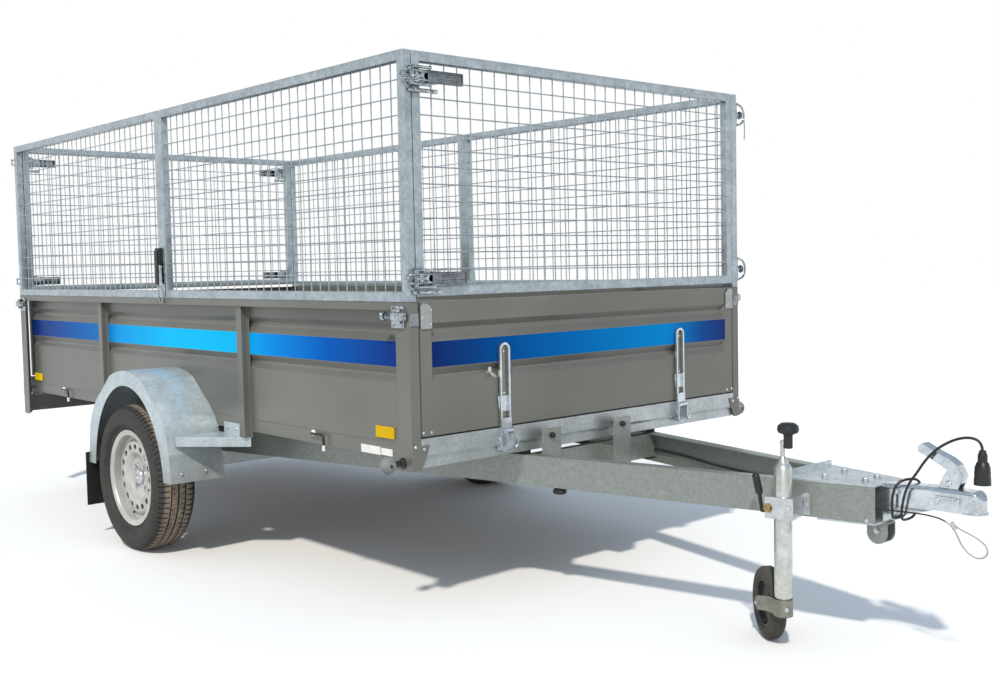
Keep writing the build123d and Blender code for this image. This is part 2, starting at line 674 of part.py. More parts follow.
def coupling_head():
    """A pressed ball coupling: a channel neck that widens and drops into the domed ball cup."""
    ball_x = FRONT + COUPLING_TIP - BALL_BACK
    start = FRONT + BEAM_NOSE
    tip = FRONT + COUPLING_TIP
    half = NECK_WIDE / 2
    flare = ball_x - NECK_TAPER
    plan = [Line((start, -half), (flare, -half)), Line((flare, -half), (ball_x, -NOSE_R)),
            ThreePointArc((ball_x, -NOSE_R), (ball_x + NOSE_R, 0), (ball_x, NOSE_R)),
            Line((ball_x, NOSE_R), (flare, half)), Line((flare, half), (start, half)),
            Line((start, half), (start, -half))]
    shell = extrude(Plane.XY.offset(NECK_LOW) * make_face(Curve() + plan), amount=HEAD_TOP - NECK_LOW)
    profile = [(start, NECK_LOW), (start + 66, NECK_LOW), (ball_x - 92, HEAD_LOW), (tip, HEAD_LOW),
               (tip, HEAD_TOP - 26), (ball_x + 8, HEAD_TOP), (ball_x - 110, HEAD_TOP), (start, NECK_TOP)]
    shell &= extrude(Plane.XZ * make_face(Polyline(*profile, close=True)), amount=HEAD_LOW, both=True)
    upper = [e for e in shell.edges() if e.center().Z > BALL_Z + 12 and abs(e.center().Y) > 4
             and e.center().X > start + 1]
    shell = fillet(upper, HEAD_ROUND)
    skirt = Plane.XY.offset(HEAD_LOW) * Pos(ball_x, 0) * Circle(BALL_BACK)
    shell += extrude(skirt, amount=SHELL)
    hollow = block((start + SHELL, ball_x - BALL_R - 8), (SHELL - half, half - SHELL),
                   (NECK_LOW - 1, NECK_TOP - SHELL))
    shell -= hollow
    socket_z, socket_r = BALL_Z + SOCKET_UP, BALL_R + SOCKET_CLEAR
    shell -= Pos(ball_x, 0, socket_z) * Sphere(socket_r)
    shell -= rod((ball_x, 0, NECK_LOW), (ball_x, 0, socket_z), socket_r)
    tongue = half - 0.5
    return shell + block((start - TONGUE, start), (-tongue, tongue), (BEAM_TOP - BEAM_HIGH, BEAM_TOP))


def coupling_lever():
    """The raised hand lever on the coupling's top: a channel handle on two cheeks, with a hooked end."""
    x = FRONT + COUPLING_TIP
    low = HEAD_TOP
    outline = [(-121, 0), (-108, 28), (-97, 47), (-116, 58), (-148, 75), (-172, 85), (-177, 97), (-164, 109),
               (-124, 90), (-90, 76), (-69, 61), (-56, 32), (-69, 0)]
    inner = [(-125, -1), (-108, 22), (-94, 46), (-116, 62), (-160, 86), (-125, 85), (-91, 71), (-73, 57),
             (-61, 31), (-65, -1)]
    face, hollow = [make_face(Polyline(*[(x + u, low + v) for u, v in line], close=True))
                    for line in (outline, inner)]
    body = extrude(Plane.XZ * face, amount=LEVER_WIDE / 2, both=True)
    return body - extrude(Plane.XZ * hollow, amount=LEVER_WIDE / 2 - SHELL, both=True)


def head_plates():
    """The plates that close the A-frame's nose above and below, the upper one with a raised lip."""
    back, nose = FRONT + HEAD_BACK, FRONT + BEAM_NOSE
    rear_y, front_y = beam_y(back), beam_y(nose)
    outline = Polyline((back, rear_y), (nose, front_y), (nose, -front_y), (back, -rear_y), close=True)
    upper = extrude(Plane.XY.offset(BEAM_TOP) * make_face(outline), amount=HEAD_PLATE)
    upper += block((back, back + HEAD_PLATE), (rear_y, -rear_y), (BEAM_TOP, BEAM_TOP + 18))
    low = BEAM_TOP - BEAM_HIGH - HEAD_PLATE
    mid = nose - 150
    lower = Polyline((mid, beam_y(mid)), (nose, front_y), (nose, -front_y), (mid, -beam_y(mid)), close=True)
    return [upper, extrude(Plane.XY.offset(low) * make_face(lower), amount=HEAD_PLATE)]


def prop_bracket():
    """The rounded bracket under the nose, a strap bent round a bolt."""
    x = FRONT + BEAM_NOSE - 22
    top = BEAM_TOP - BEAM_HIGH - HEAD_PLATE
    outline = Pos(x, top - 16) * SlotOverall(88, 58, rotation=90)
    body = extrude(Plane.XZ * outline, amount=22, both=True)
    body &= block((x - 40, x + 40), (-22, 22), (top - 60, top))
    return body - block((x - 40, x + 40), (-18, 18), (top - 54, top - 5))


def jockey_clamp():
    """The clamp on the right beam: a bolted plate, a split housing and its bolt."""
    x, y = FRONT + JOCKEY_BACK, -JOCKEY_OUT
    face = beam_y(x)
    z = (CLAMP_LOW, CLAMP_LOW + CLAMP_HIGH)
    half = CLAMP_WIDE / 2
    turn = Rot(0, 0, BEAM_SPLAY)
    bore = JOCKEY_R + RUN_CLEAR
    seat = JOCKEY_OUT + face
    body = block((-half, half), (-32, seat), z)
    body += block((-half, half + CLAMP_PLATE), (seat - 6, seat), (z[0] - 4, z[1] + 4))
    body = Pos(x, y, 0) * turn * body
    body &= block((x - 2 * CLAMP_WIDE, x + 2 * CLAMP_WIDE), (y - CLAMP_WIDE, face + CLAMP_WIDE), z)
    splay = radians(BEAM_SPLAY)
    plane = Plane(origin=(x, face, 0), x_dir=(cos(splay), sin(splay), 0), z_dir=(0, 0, 1))
    behind = plane * Pos(0, CLAMP_WIDE) * Rectangle(4 * CLAMP_WIDE, 2 * CLAMP_WIDE)
    body -= extrude(behind, amount=BEAM_TOP)
    body -= rod((x, y, 0), (x, y, BEAM_TOP), bore)
    return body


def clamp_lever():
    """The bent handle with its long grip, by which the clamp is tightened."""
    side, out, z = -CLAMP_WIDE / 2, -16, CLAMP_LOW + 16
    start, knee = (side, out, z), (side - 14, out, z)
    top, grip = (side - 20, out - 4, z + 52), (side - 27, out - 8, z + 92)
    body = rod(start, knee, 5) + Pos(*knee) * Sphere(5) + rod(knee, top, 5)
    body += rod(top, grip, 10) + Pos(*grip) * Sphere(10) + Pos(*top) * Sphere(10)
    return Pos(FRONT + JOCKEY_BACK, -JOCKEY_OUT, 0) * Rot(0, 0, BEAM_SPLAY) * body


def tube_place():
    """The middle of the jockey tube at ground height."""
    return Pos(FRONT + JOCKEY_BACK, -JOCKEY_OUT, 0)


def upright(radius, low, high):
    """A round bar on the jockey tube's axis between two heights."""
    return Pos(0, 0, low) * Cylinder(radius, high - low, align=ON_FOOT)


def jockey_tube():
    """The outer tube with its crowned cap and collar."""
    body = upright(JOCKEY_R, JOCKEY_LOW, JOCKEY_TOP - 12)
    body -= upright(JOCKEY_INNER_R + RUN_CLEAR, JOCKEY_LOW, JOCKEY_TOP - 34)
    body += Pos(0, 0, JOCKEY_TOP - 12) * Cone(JOCKEY_R, 15, 12, align=ON_FOOT)
    wide, high = NOTCH
    notch = block((-JOCKEY_R - 1, 0), (-wide, 0), (JOCKEY_LOW - 1, JOCKEY_LOW + high))
    return tube_place() * (body - notch)


def jockey_crank():
    """The folded crank on the tube's top: a flared boss, an upright bar and the knob's arm."""
    top = JOCKEY_TOP
    body = Pos(0, 0, top) * Cone(16, 8, 18, align=ON_FOOT)
    body += rod((0, 0, top + 8), (0, 0, top + CRANK_HIGH + 2), CRANK_BAR_R)
    arm = (top + CRANK_HIGH - 10, top + CRANK_HIGH)
    body += block((-CRANK_BAR_R, CRANK_ARM), (-CRANK_PIN_R, CRANK_PIN_R), arm)
    body += rod((CRANK_ARM, 0, top + 40), (CRANK_ARM, 0, top + CRANK_PIN_TOP), CRANK_PIN_R)
    return tube_place() * body


def jockey_knob():
    """The mushroom-shaped knob that turns on the crank's pin."""
    low = JOCKEY_TOP + KNOB_UP
    profile = [(0, low), (12, low), (12, low + 36), (26, low + 42), (29, low + 50), (27, low + 60),
               (18, low + 67), (0, low + 69)]
    knob = revolve(Plane.XZ * make_face(Polyline(*profile, close=True)), Axis.Z)
    knob -= rod((0, 0, low - 1), (0, 0, JOCKEY_TOP + CRANK_PIN_TOP + 1), CRANK_PIN_R + 0.2)
    slot = CRANK_PIN_R + RUN_CLEAR
    knob -= block((-CRANK_ARM - 8, 0), (-slot, slot), (low - 1, JOCKEY_TOP + CRANK_HIGH + RUN_CLEAR))
    return tube_place() * Pos(CRANK_ARM, 0, 0) * knob


def jockey_leg():
    """The inner tube that the screw drives out of the outer one."""
    foot = FORK_LOW + PIN_CLEAR
    return tube_place() * upright(JOCKEY_INNER_R, foot, JOCKEY_TOP - 40)


def fork_frame(shape):
    """Turn a piece drawn with the wheel trailing along +X to the way the wheel stands."""
    return tube_place() * Rot(0, 0, JOCKEY_TURN) * shape


def jockey_fork():
    """The strap bent round the inner tube's foot, whose arms spread and fall to the wheel's axle."""
    gap = JOCKEY_WHEEL_WIDE / 2 + 6
    end = JOCKEY_TRAIL + FORK_EYE
    near = JOCKEY_TRAIL - JOCKEY_WHEEL_R
    collar = JOCKEY_INNER_R + 1
    high = FORK_LOW + FORK_HIGH

    def plan(spread):
        r = collar + spread
        half = gap + spread
        arc = ThreePointArc((0, r), (-r, 0), (0, -r))
        arms = Polyline((0, -r), (near, -half), (end, -half), (end, half), (near, half), (0, r))
        return extrude(Plane.XY * make_face(Curve() + [arc] + arms.edges()), amount=high)

    body = plan(FORK_SHEET) - plan(0) - block((end - 1, end + 1), (-gap, gap), (0, high))
    side = [(-end, FORK_LOW), (near, FORK_LOW), (JOCKEY_TRAIL, JOCKEY_WHEEL_R - FORK_EYE),
            (end, JOCKEY_WHEEL_R - FORK_EYE / 2), (end, JOCKEY_WHEEL_R + FORK_EYE / 2),
            (JOCKEY_TRAIL, JOCKEY_WHEEL_R + FORK_EYE), (near, high), (-end, high)]
    body &= extrude(Plane.XZ * make_face(Polyline(*side, close=True)), amount=2 * gap, both=True)
    reach = gap + FORK_SHEET + 6
    axle = rod((JOCKEY_TRAIL, -reach, JOCKEY_WHEEL_R), (JOCKEY_TRAIL, reach, JOCKEY_WHEEL_R), AXLE_R)
    foot = upright(collar + FORK_SHEET, FORK_LOW - FORK_SHEET, FORK_LOW)
    return fork_frame(body + axle + foot)


def jockey_tyre():
    """The jockey wheel's solid rubber tyre."""
    half = JOCKEY_WHEEL_WIDE / 2
    r = JOCKEY_WHEEL_R
    line = [(r - 34, 6 - half), (r - 34, half - 6), (r - 20, half), (r - 8, half - 4), (r, 12)]
    line += [(a, -b) for a, b in reversed(line[2:])]
    body = revolve(Plane.XZ * make_face(Polyline(*line, close=True)), Axis.Z)
    return fork_frame(Pos(JOCKEY_TRAIL, 0, r) * Rot(90, 0, 0) * body)


def jockey_hub():
    """The jockey wheel's plain hub and web."""
    half = JOCKEY_WHEEL_WIDE / 2
    seat = JOCKEY_WHEEL_R - 34 - 0.3
    body = Cylinder(seat, 2 * half - 14) - Cylinder(seat - 5, 2 * half)
    body += Cylinder(seat, 10) + Cylinder(18, 2 * half)
    body -= Cylinder(AXLE_R + PIN_CLEAR, 100)
    return fork_frame(Pos(JOCKEY_TRAIL, 0, JOCKEY_WHEEL_R) * Rot(90, 0, 0) * body)


def cord(points, radius):
    """A cord's tube: straight runs joined by arcs as large as the runs allow."""
    points = [Vector(*p) for p in points]
    radii = []
    for a, b, c in zip(points, points[1:], points[2:]):
        before, after = b - a, c - b
        turn = radians(before.get_angle(after))
        radii.append(0.45 * min(before.length, after.length) / tan(turn / 2))
    path = FilletPolyline(*points, radius=radii)
    plane = Plane(origin=points[0], z_dir=points[1] - points[0])
    tube = sweep(plane * Circle(radius), path=path)
    share = tube.volume / (path.length * pi * radius ** 2)
    print("cord length", round(path.length), "volume share", round(share, 3), "radius", round(min(radii), 1))
    return tube


# The lead leaves the left beam's end, winds twice round the neck and hangs over to its plug
LEAD_R = 3.5
LEAD = [
    (985, 70, 372.8), (1030, 59, 372.8), (1056, 52, 375), (1071, 36, 375), (1074, -3, 375), (1075, -36, 378),
    (1077, -43, 404), (1078, -43, 446), (1088, -35, 475), (1100, -4, 482), (1112, 32, 477), (1112, 43, 450),
    (1104, 43, 408), (1098, 36, 378), (1098, 2, 374), (1100, -36, 378), (1103, -43, 404), (1112, -44, 450),
    (1124, -39, 482), (1142, -35, 508), (1158, -31, 536), (1180, -29, 563), (1208, -26, 586),
    (1240, -22, 603), (1273, -18, 610), (1300, -15, 600), (1302, -15, 578),
]
# The breakaway wire lies along the neck's foot and ends in a loop under the ball
BREAK_R = 2
BREAK = [
    (1044, -68, 404), (1060, -66, 404), (1080, -57, 404), (1104, -52, 404), (1146, -51, 406),
    (1186, -49, 405), (1218, -44, 398), (1236, -36, 382), (1246, -28, 358), (1252, -18, 332),
    (1271, -10, 310), (1293, -6, 304), (1311, -4, 317), (1310, -4, 337), (1291, -8, 354),
    (1268, -16, 367), (1250, -26, 380), (1238, -31, 390),
]


def shifted(points):
    """Move a route given from the bed's front plane into place."""
    return [(FRONT + x, y, z) for x, y, z in points]


def lead_plug():
    """The seven-pin plug that hangs from the lead's end."""
    x, y, z = shifted(LEAD)[-1]
    profile = Polyline((0, 0), (LEAD_R + 5, 0), (LEAD_R + 8, -12), (LEAD_R + 8, -26), (LEAD_R + 15, -40),
                       (LEAD_R + 17, -84), (0, -84), close=True)
    return Pos(x, y, z) * revolve(Plane.XZ * make_face(profile), Axis.Z)


def both(shape):
    """A piece and its mirror image, as a group."""
    return [shape, mirrored(shape)]


def build():
    """Make every piece and write it to its file."""
    for name, side in SIDES.items():
        place = (lambda s: s) if side < 0 else mirrored
        save(f"side_wall_{name}", place(side_wall()))
        save(f"mudguard_{name}", place(mudguard()))
        panel = Pos((FRONT + REAR) / 2, -HALF, 0) * mesh_panel(BED_LEN, WALL_TOP, True)
        save(f"mesh_{name}", place(panel))
        save(f"drawbar_beam_{name}", place(beam()))
        turn = wheel_turn(side)
        save(f"tyre_{name}", turn * tyre())
        save(f"rim_{name}", turn * rim())
        save(f"hub_{name}", turn * hub())
    wide = BED_WID - 2 * MESH_TUBE - 2 * MESH_GAP
    panel = mesh_panel(wide, MESH_END_LOW, False)
    latches = [mesh_latch(z) for z in LATCH_Z]
    latches += [mirror(latch, about=Plane.YZ) for latch in latches]
    straps = [strap(y) for y in (-STRAP_Y, STRAP_Y)]
    brackets = [hinge_bracket(y) for y in (-STRAP_Y, STRAP_Y)]
    keep = gate_keep()
    keeps = [keep, mirror(keep, about=Plane.YZ)]
    for name, turn in (("front", at_front), ("rear", at_rear)):
        save(f"mesh_{name}", turn(panel))
        save(f"{name}_gate", turn(gate()))
        save(f"{name}_gate_hinges", [turn(piece) for piece in straps + keeps])
    save("mesh_latches", [turn(latch) for turn in (at_front, at_rear) for latch in latches])
    save("hinge_brackets", [turn(piece) for turn in (at_front, at_rear) for piece in brackets])
    save("front_beam", at_front(end_beam()))
    save("rear_beam", at_rear(end_beam()))
    rear_post = mirror(Pos(-FRONT, 0, 0) * corner_post(REAR_POST_FOOT), about=Plane.YZ)
    save("corner_posts", both(corner_post(POST_FOOT)) + both(Pos(REAR, 0, 0) * rear_post))
    save("side_posts", [post for back in POST_X for post in both(side_post(back))])
    lock = gate_lock()
    rear_lock = Pos(REAR, 0, 0) * mirror(Pos(-FRONT, 0, 0) * lock, about=Plane.YZ)
    save("gate_locks", both(lock) + both(rear_lock))
    inner = HALF - POST_PROUD - SHEET - GROOVE_DEEP - 2
    save("floor_panel", block((REAR + GATE_EDGE + 6, FRONT - GATE_EDGE - 6), (-inner, inner),
                              (FLOOR_LOW, FLOOR_TOP)))
    outer = HALF - SILL_IN
    save("side_sills", both(sill()))
    joist = cross_rail(outer - SILL_WIDE)
    backs = JOIST_GAP + (AXLE_BACK - PIVOT_AHEAD, AXLE_BACK - BRACKET_AHEAD)
    save("floor_joists", [Pos(FRONT - back, 0, 0) * joist for back in backs])
    board_half = HALF - CORNER_FACE
    board = block((REAR, REAR + SHEET), (-board_half, board_half), (REAR_POST_FOOT + 8, END_BEAM_LOW))
    save("lamp_board", board)
    lamp_low = REAR_POST_FOOT + 12
    lamp = block((REAR - LAMP_PROUD, REAR), (-LAMP_Y - LAMP_LONG / 2, -LAMP_Y + LAMP_LONG / 2),
                 (lamp_low, lamp_low + LAMP_HIGH))
    save("rear_lamps", both(fillet(lamp.edges().filter_by(Axis.X), 10)))
    marker_z = POST_FOOT + MARKER_UP
    marker_x, deep = FRONT - MARKER_BACK, MARKER_DEEP / 2
    marker = rod((marker_x, -HALF, marker_z), (marker_x, -MARKER_Y, marker_z), MARKER_STEM_R)
    marker += rod((marker_x - deep, -MARKER_Y, marker_z), (marker_x + deep, -MARKER_Y, marker_z), MARKER_R)
    save("marker_lamps", both(marker))
    reflectors = []
    for back in REFLECTOR_BACK:
        x = FRONT - back
        outer = POST_PROUD - HALF
        reflectors += both(block((x - 45, x + 45), (outer - 6, outer), REFLECTOR_Z))
    save("reflectors", reflectors)
    save("axle_tube", axle_tube())
    save("torsion_arms", both(torsion_arm()))
    save("axle_brackets", [axle_bracket(side) for side in (-1, 1)])
    save("tilt_hinges", both(tilt_hinge()))
    save("mudflaps", both(mudflap()))
    save("step_brackets", both(step_bracket()))
    save("drawbar_crossmember", crossmember())
    pins = []
    for y in LOCK_Y:
        start = FRONT + LOCK_PIN_START
        pins.append(rod((start, y, LOCK_PIN_Z), (FRONT + LOCK_PROUD + 10, y, LOCK_PIN_Z), LOCK_PIN_R))
    save("tilt_lock_pins", pins)
    pad_x = FRONT - END_BEAM_DEEP / 2
    pad_y = beam_y(pad_x) + BEAM_FLANGE / 2
    save("rest_pads", both(rod((pad_x, pad_y, BEAM_TOP), (pad_x, pad_y, END_BEAM_LOW - REST_GAP), PAD_R)))
    save("head_plates", head_plates())
    save("coupling_head", coupling_head())
    save("coupling_lever", coupling_lever())
    save("prop_bracket", prop_bracket())
    save("jockey_clamp", jockey_clamp())
    save("clamp_lever", clamp_lever())
    save("jockey_tube", jockey_tube())
    save("jockey_crank", jockey_crank())
    save("jockey_knob", jockey_knob())
    save("jockey_leg", jockey_leg())
    save("jockey_fork", jockey_fork())
    save("jockey_tyre", jockey_tyre())
    save("jockey_hub", jockey_hub())
    save("lead_cable", cord(shifted(LEAD), LEAD_R))
    save("lead_plug", lead_plug())
    save("breakaway_wire", cord(shifted(BREAK), BREAK_R))


build()
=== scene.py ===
import math

import bpy
from mathutils import Matrix, Vector


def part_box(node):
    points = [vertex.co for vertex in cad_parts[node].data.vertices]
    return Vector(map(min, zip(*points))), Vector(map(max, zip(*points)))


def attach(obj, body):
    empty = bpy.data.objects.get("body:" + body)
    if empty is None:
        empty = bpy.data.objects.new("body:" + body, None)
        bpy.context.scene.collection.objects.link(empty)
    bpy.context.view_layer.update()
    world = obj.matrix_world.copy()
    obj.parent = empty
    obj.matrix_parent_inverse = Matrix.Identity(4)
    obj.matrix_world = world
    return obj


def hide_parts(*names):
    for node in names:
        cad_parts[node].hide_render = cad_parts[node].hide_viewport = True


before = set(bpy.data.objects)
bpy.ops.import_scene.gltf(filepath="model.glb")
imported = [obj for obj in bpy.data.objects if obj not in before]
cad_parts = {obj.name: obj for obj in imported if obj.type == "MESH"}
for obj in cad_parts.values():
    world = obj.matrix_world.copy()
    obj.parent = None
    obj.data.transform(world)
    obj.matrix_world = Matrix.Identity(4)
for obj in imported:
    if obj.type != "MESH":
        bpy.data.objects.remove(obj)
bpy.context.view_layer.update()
bpy.ops.object.select_all(action="DESELECT")


# Side walls and gates: roll-formed steel sheet, galvanised and coil-coated in a satin grey. A
# thin even coat, so a soft sheen with a slight orange peel.
def linear(hex_colour):
    """An sRGB hex colour as linear RGBA."""
    parts = [int(hex_colour[i:i + 2], 16) / 255 for i in (1, 3, 5)]
    return [c / 12.92 if c <= 0.04045 else ((c + 0.055) / 1.055) ** 2.4 for c in parts] + [1]


def add(tree, kind, settings=(), stops=(), **inputs):
    """Adds a node with its settings, its colour stops, and a value or a link on each named input."""
    made = tree.nodes.new(kind)
    for name, value in dict(settings).items():
        setattr(made, name, value)
    while stops and len(made.color_ramp.elements) < len(stops):
        made.color_ramp.elements.new(1)
    for i, (at, hex_colour) in enumerate(stops):
        made.color_ramp.elements[i].position = at
        made.color_ramp.elements[i].color = linear(hex_colour)
    for name, value in inputs.items():
        socket = made.inputs[int(name[1:])] if name[0] == "_" else made.inputs[name.replace("_", " ")]
        if isinstance(value, bpy.types.NodeSocket):
            tree.links.new(value, socket)
        else:
            socket.default_value = value
    return made


def new_finish(name, rough, metal):
    """A material with its node tree, its shader and its object coordinates."""
    made = bpy.data.materials.new(name)
    made.use_nodes = True
    tree = made.node_tree
    shader = tree.nodes["Principled BSDF"]
    shader.inputs["Roughness"].default_value = rough
    shader.inputs["Metallic"].default_value = metal
    return made, tree, shader, add(tree, "ShaderNodeTexCoord").outputs["Object"]


def roughen(tree, shader, height, deep, strength=0.3):
    """A bump of a real depth in metres from a height between 0 and 1."""
    bump = add(tree, "ShaderNodeBump", Height=height, Distance=deep, Strength=strength)
    tree.links.new(bump.outputs["Normal"], shader.inputs["Normal"])


def paint(tree, shader, colour):
    """Links a colour to a shader's base colour."""
    tree.links.new(colour, shader.inputs["Base Color"])


def coil_coat(name):
    """Coil coating with a slow change of tone along the sheet and a fine orange peel.

    The peel is drawn at about 4 mm, coarser than the real one, so that it shows.
    """
    made, tree, shader, place = new_finish(name, 0.34, 0.25)
    cloud = add(tree, "ShaderNodeTexNoise", Vector=place, Scale=1.7, Detail=3.0)
    tint = add(tree, "ShaderNodeValToRGB", Fac=cloud.outputs["Fac"],
               stops=((0.35, "#696a65"), (0.65, "#777872")))
    paint(tree, shader, tint.outputs["Color"])
    peel = add(tree, "ShaderNodeTexNoise", Vector=place, Scale=260.0, Detail=2.0)
    roughen(tree, shader, peel.outputs["Fac"], 0.0003, 0.2)
    return made


def dress(made, *nodes, edge=0.0008):
    """Gives CAD nodes a material, and breaks their sharp edges as a fold or a cut does."""
    for name in nodes:
        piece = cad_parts[name]
        piece.data.materials.clear()
        piece.data.materials.append(made)
        if edge:
            weld = piece.modifiers.new("weld", "WELD")
            weld.merge_threshold = 0.00002
            flat = piece.modifiers.new("flat", "DECIMATE")
            flat.decimate_type = "DISSOLVE"
            flat.angle_limit = math.radians(0.6)
            rounded = piece.modifiers.new("edge", "BEVEL")
            rounded.width = edge
            rounded.segments = 2
            rounded.limit_method = "ANGLE"
            rounded.angle_limit = math.radians(40)


coat = coil_coat("coil_coated_steel")
dress(coat, "side_wall_right", "side_wall_left")
dress(coat, "front_gate", "rear_gate", edge=0)


# Posts, sills and lamp board: folded from the same coated sheet as the walls, with rounder
# bends, and riveted on.
dress(coat, "corner_posts", edge=0.0025)
dress(coat, "side_posts", "lamp_board", "side_sills", edge=0.0015)


# Frame of the bed: steel dipped in molten zinc after welding. It dulls to a pale blue-grey with
# soft cloudy patches a hand across, a finer spangle and a satin roughness.
def zinc(name, dark, light, patch, rough, metal=0.75):
    """Galvanised steel: patches of a given size in metres, with spangle and fine grain over them.

    The spangle is about 9 mm. The grain is drawn at 2.4 mm, coarser than the real one, so that it shows.
    """
    made, tree, shader, place = new_finish(name, rough, metal)
    blot = add(tree, "ShaderNodeTexNoise", Vector=place, Scale=1 / patch, Detail=3.0, Roughness=0.5)
    spangle = add(tree, "ShaderNodeTexVoronoi", Vector=place, Scale=110.0)
    tone = add(tree, "ShaderNodeMix", {"data_type": "FLOAT"}, Factor=0.3, _2=blot.outputs["Fac"],
               _3=spangle.outputs["Color"])
    tint = add(tree, "ShaderNodeValToRGB", Fac=tone.outputs[0], stops=((0.3, dark), (0.7, light)))
    paint(tree, shader, tint.outputs["Color"])
    dull = add(tree, "ShaderNodeMapRange", Value=tone.outputs[0], To_Min=rough + 0.1, To_Max=rough - 0.08)
    tree.links.new(dull.outputs["Result"], shader.inputs["Roughness"])
    grain = add(tree, "ShaderNodeTexNoise", Vector=place, Scale=420.0, Detail=2.0)
    roughen(tree, shader, grain.outputs["Fac"], 0.0003, 0.25)
    return made


dipped = zinc("hot_dip_galvanised_steel", "#a3a9ab", "#bcc1c3", 0.09, 0.4)
dress(dipped, "front_beam", "rear_beam", "floor_joists", "axle_tube", "torsion_arms",
      "axle_brackets", "tilt_hinges", edge=0.0012)


# Floor: plywood faced with dark phenolic film, which is pressed with a fine wire-mesh print. The
# sheet lies on the joists.
ply_film, tree, shader, place = new_finish("phenolic_film_plywood", 0.45, 0.0)
weave = add(tree, "ShaderNodeTexVoronoi", Vector=place, Scale=120.0)
cloud = add(tree, "ShaderNodeTexNoise", Vector=place, Scale=3.0, Detail=2.0)
tint = add(tree, "ShaderNodeValToRGB", Fac=cloud.outputs["Fac"],
           stops=((0.3, "#3c2a20"), (0.7, "#513a2b")))
paint(tree, shader, tint.outputs["Color"])
roughen(tree, shader, weave.outputs["Distance"], 0.001)
dress(ply_film, "floor_panel")


# Rivets of the bed: zinc-plated domed heads, set by machine through the sheet, a little brighter
# than the dipped steel around them.
def rod(name, start, end, radius, sides=16):
    """A round bar between two points."""
    start, end = Vector(start), Vector(end)
    bpy.ops.object.select_all(action="DESELECT")
    turn = (end - start).to_track_quat("Z", "Y").to_euler()
    bpy.ops.mesh.primitive_cylinder_add(vertices=sides, radius=radius, depth=(end - start).length,
                                        location=(start + end) / 2, rotation=turn)
    made = bpy.context.object
    made.name = name
    bpy.ops.object.transform_apply()
    return made


def pick(made):
    """Makes a piece the only one selected, and the active one."""
    bpy.ops.object.select_all(action="DESELECT")
    bpy.context.view_layer.objects.active = made
    made.select_set(True)


def edit(made, test=None):
    """Opens a piece in edit mode with the faces that pass a test selected, or all of them."""
    pick(made)
    bpy.context.tool_settings.mesh_select_mode = (False, False, True)
    bpy.ops.object.mode_set(mode="EDIT")
    bpy.ops.mesh.select_all(action="DESELECT" if test else "SELECT")
    if test:
        bpy.ops.object.mode_set(mode="OBJECT")
        for face in made.data.polygons:
            face.select = test(face)
        bpy.ops.object.mode_set(mode="EDIT")
    return made


def done(made, angle=35):
    """Closes edit mode and smooths the piece over its shallow edges."""
    bpy.ops.object.mode_set(mode="OBJECT")
    pick(made)
    bpy.ops.object.shade_smooth_by_angle(angle=math.radians(angle))
    return made


def head(name, at, way, radius, high, sides=12):
    """A domed head that stands at a point and faces along an axis."""
    at, way = Vector(at), Vector(way)
    made = rod(name, at, at + way * high, radius, sides)
    edit(made, lambda face: face.normal.dot(way) > 0.9)
    bpy.ops.mesh.bevel(offset=high * 0.8, segments=3)
    return done(made, 60)


def bolt(name, at, way, across, high):
    """A hexagon head on a washer, with its edges broken."""
    at, way = Vector(at), Vector(way)
    washer = rod(name, at, at + way * high * 0.2, across * 0.62, 24)
    top = rod(name, at + way * high * 0.2, at + way * high, across * 0.5, 6)
    edit(top, lambda face: face.normal.dot(way) > 0.9)
    bpy.ops.mesh.bevel(offset=high * 0.12, segments=2)
    done(top, 20)
    return joined(name, [washer, top])


def joined(name, pieces):
    """Several pieces as one mesh."""
    bpy.ops.object.select_all(action="DESELECT")
    for piece in pieces:
        piece.select_set(True)
    bpy.context.view_layer.objects.active = pieces[0]
    if len(pieces) > 1:
        bpy.ops.object.join()
    pieces[0].name = name
    return pieces[0]


def fit(made, finish, body, *stands_for):
    """Gives a finished piece its material and its body, and hides the CAD nodes that it stands for."""
    made.data.materials.clear()
    made.data.materials.append(finish)
    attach(made, body)
    if stands_for:
        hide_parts(*stands_for)
    return made


plated = zinc("zinc_plated_steel", "#b4b8ba", "#d2d5d6", 0.03, 0.3, 0.85)
low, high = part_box("front_gate")
FRONT, HALF_GATE, GATE_FOOT = high[0], high[1], low[2]
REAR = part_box("rear_gate")[0][0]
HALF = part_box("corner_posts")[1][1]
WALL_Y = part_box("reflectors")[1][1] - 0.006
BEAM_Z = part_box("front_beam")[1][2]
ENDS = (("front", FRONT, 1), ("rear", REAR, -1))
SIDES = (("right", -1), ("left", 1))
for end, x, way in ENDS:
    rivets = []
    post_heads = []
    for side in (-1, 1):
        for y, z in ((HALF_GATE - 0.004, GATE_FOOT + 0.011), (HALF_GATE - 0.034, GATE_FOOT + 0.01)):
            rivets.append(head("rivet", (x, side * y, z), (way, 0, 0), 0.0045, 0.003))
        for y, z in ((HALF - 0.011, BEAM_Z - 0.021), (HALF - 0.043, BEAM_Z - 0.03)):
            post_heads.append(head("rivet", (x + way * 0.003, side * y, z), (way, 0, 0), 0.0055, 0.004))
    fit(joined(f"{end}_gate_rivets", rivets), plated, f"{end}_gate")
    fit(joined(f"{end}_post_rivets", post_heads), plated, "bed")
side_heads = []
low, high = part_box("side_posts")
for side in (-1, 1):
    for x in (low[0] + 0.007, low[0] + 0.057, high[0] - 0.057, high[0] - 0.007):
        for z in (0.56, 0.7, 0.8, 0.915):
            side_heads.append(head("rivet", (x, side * WALL_Y, z), (0, side, 0), 0.004, 0.0025))
fit(joined("side_post_rivets", side_heads), plated, "bed")


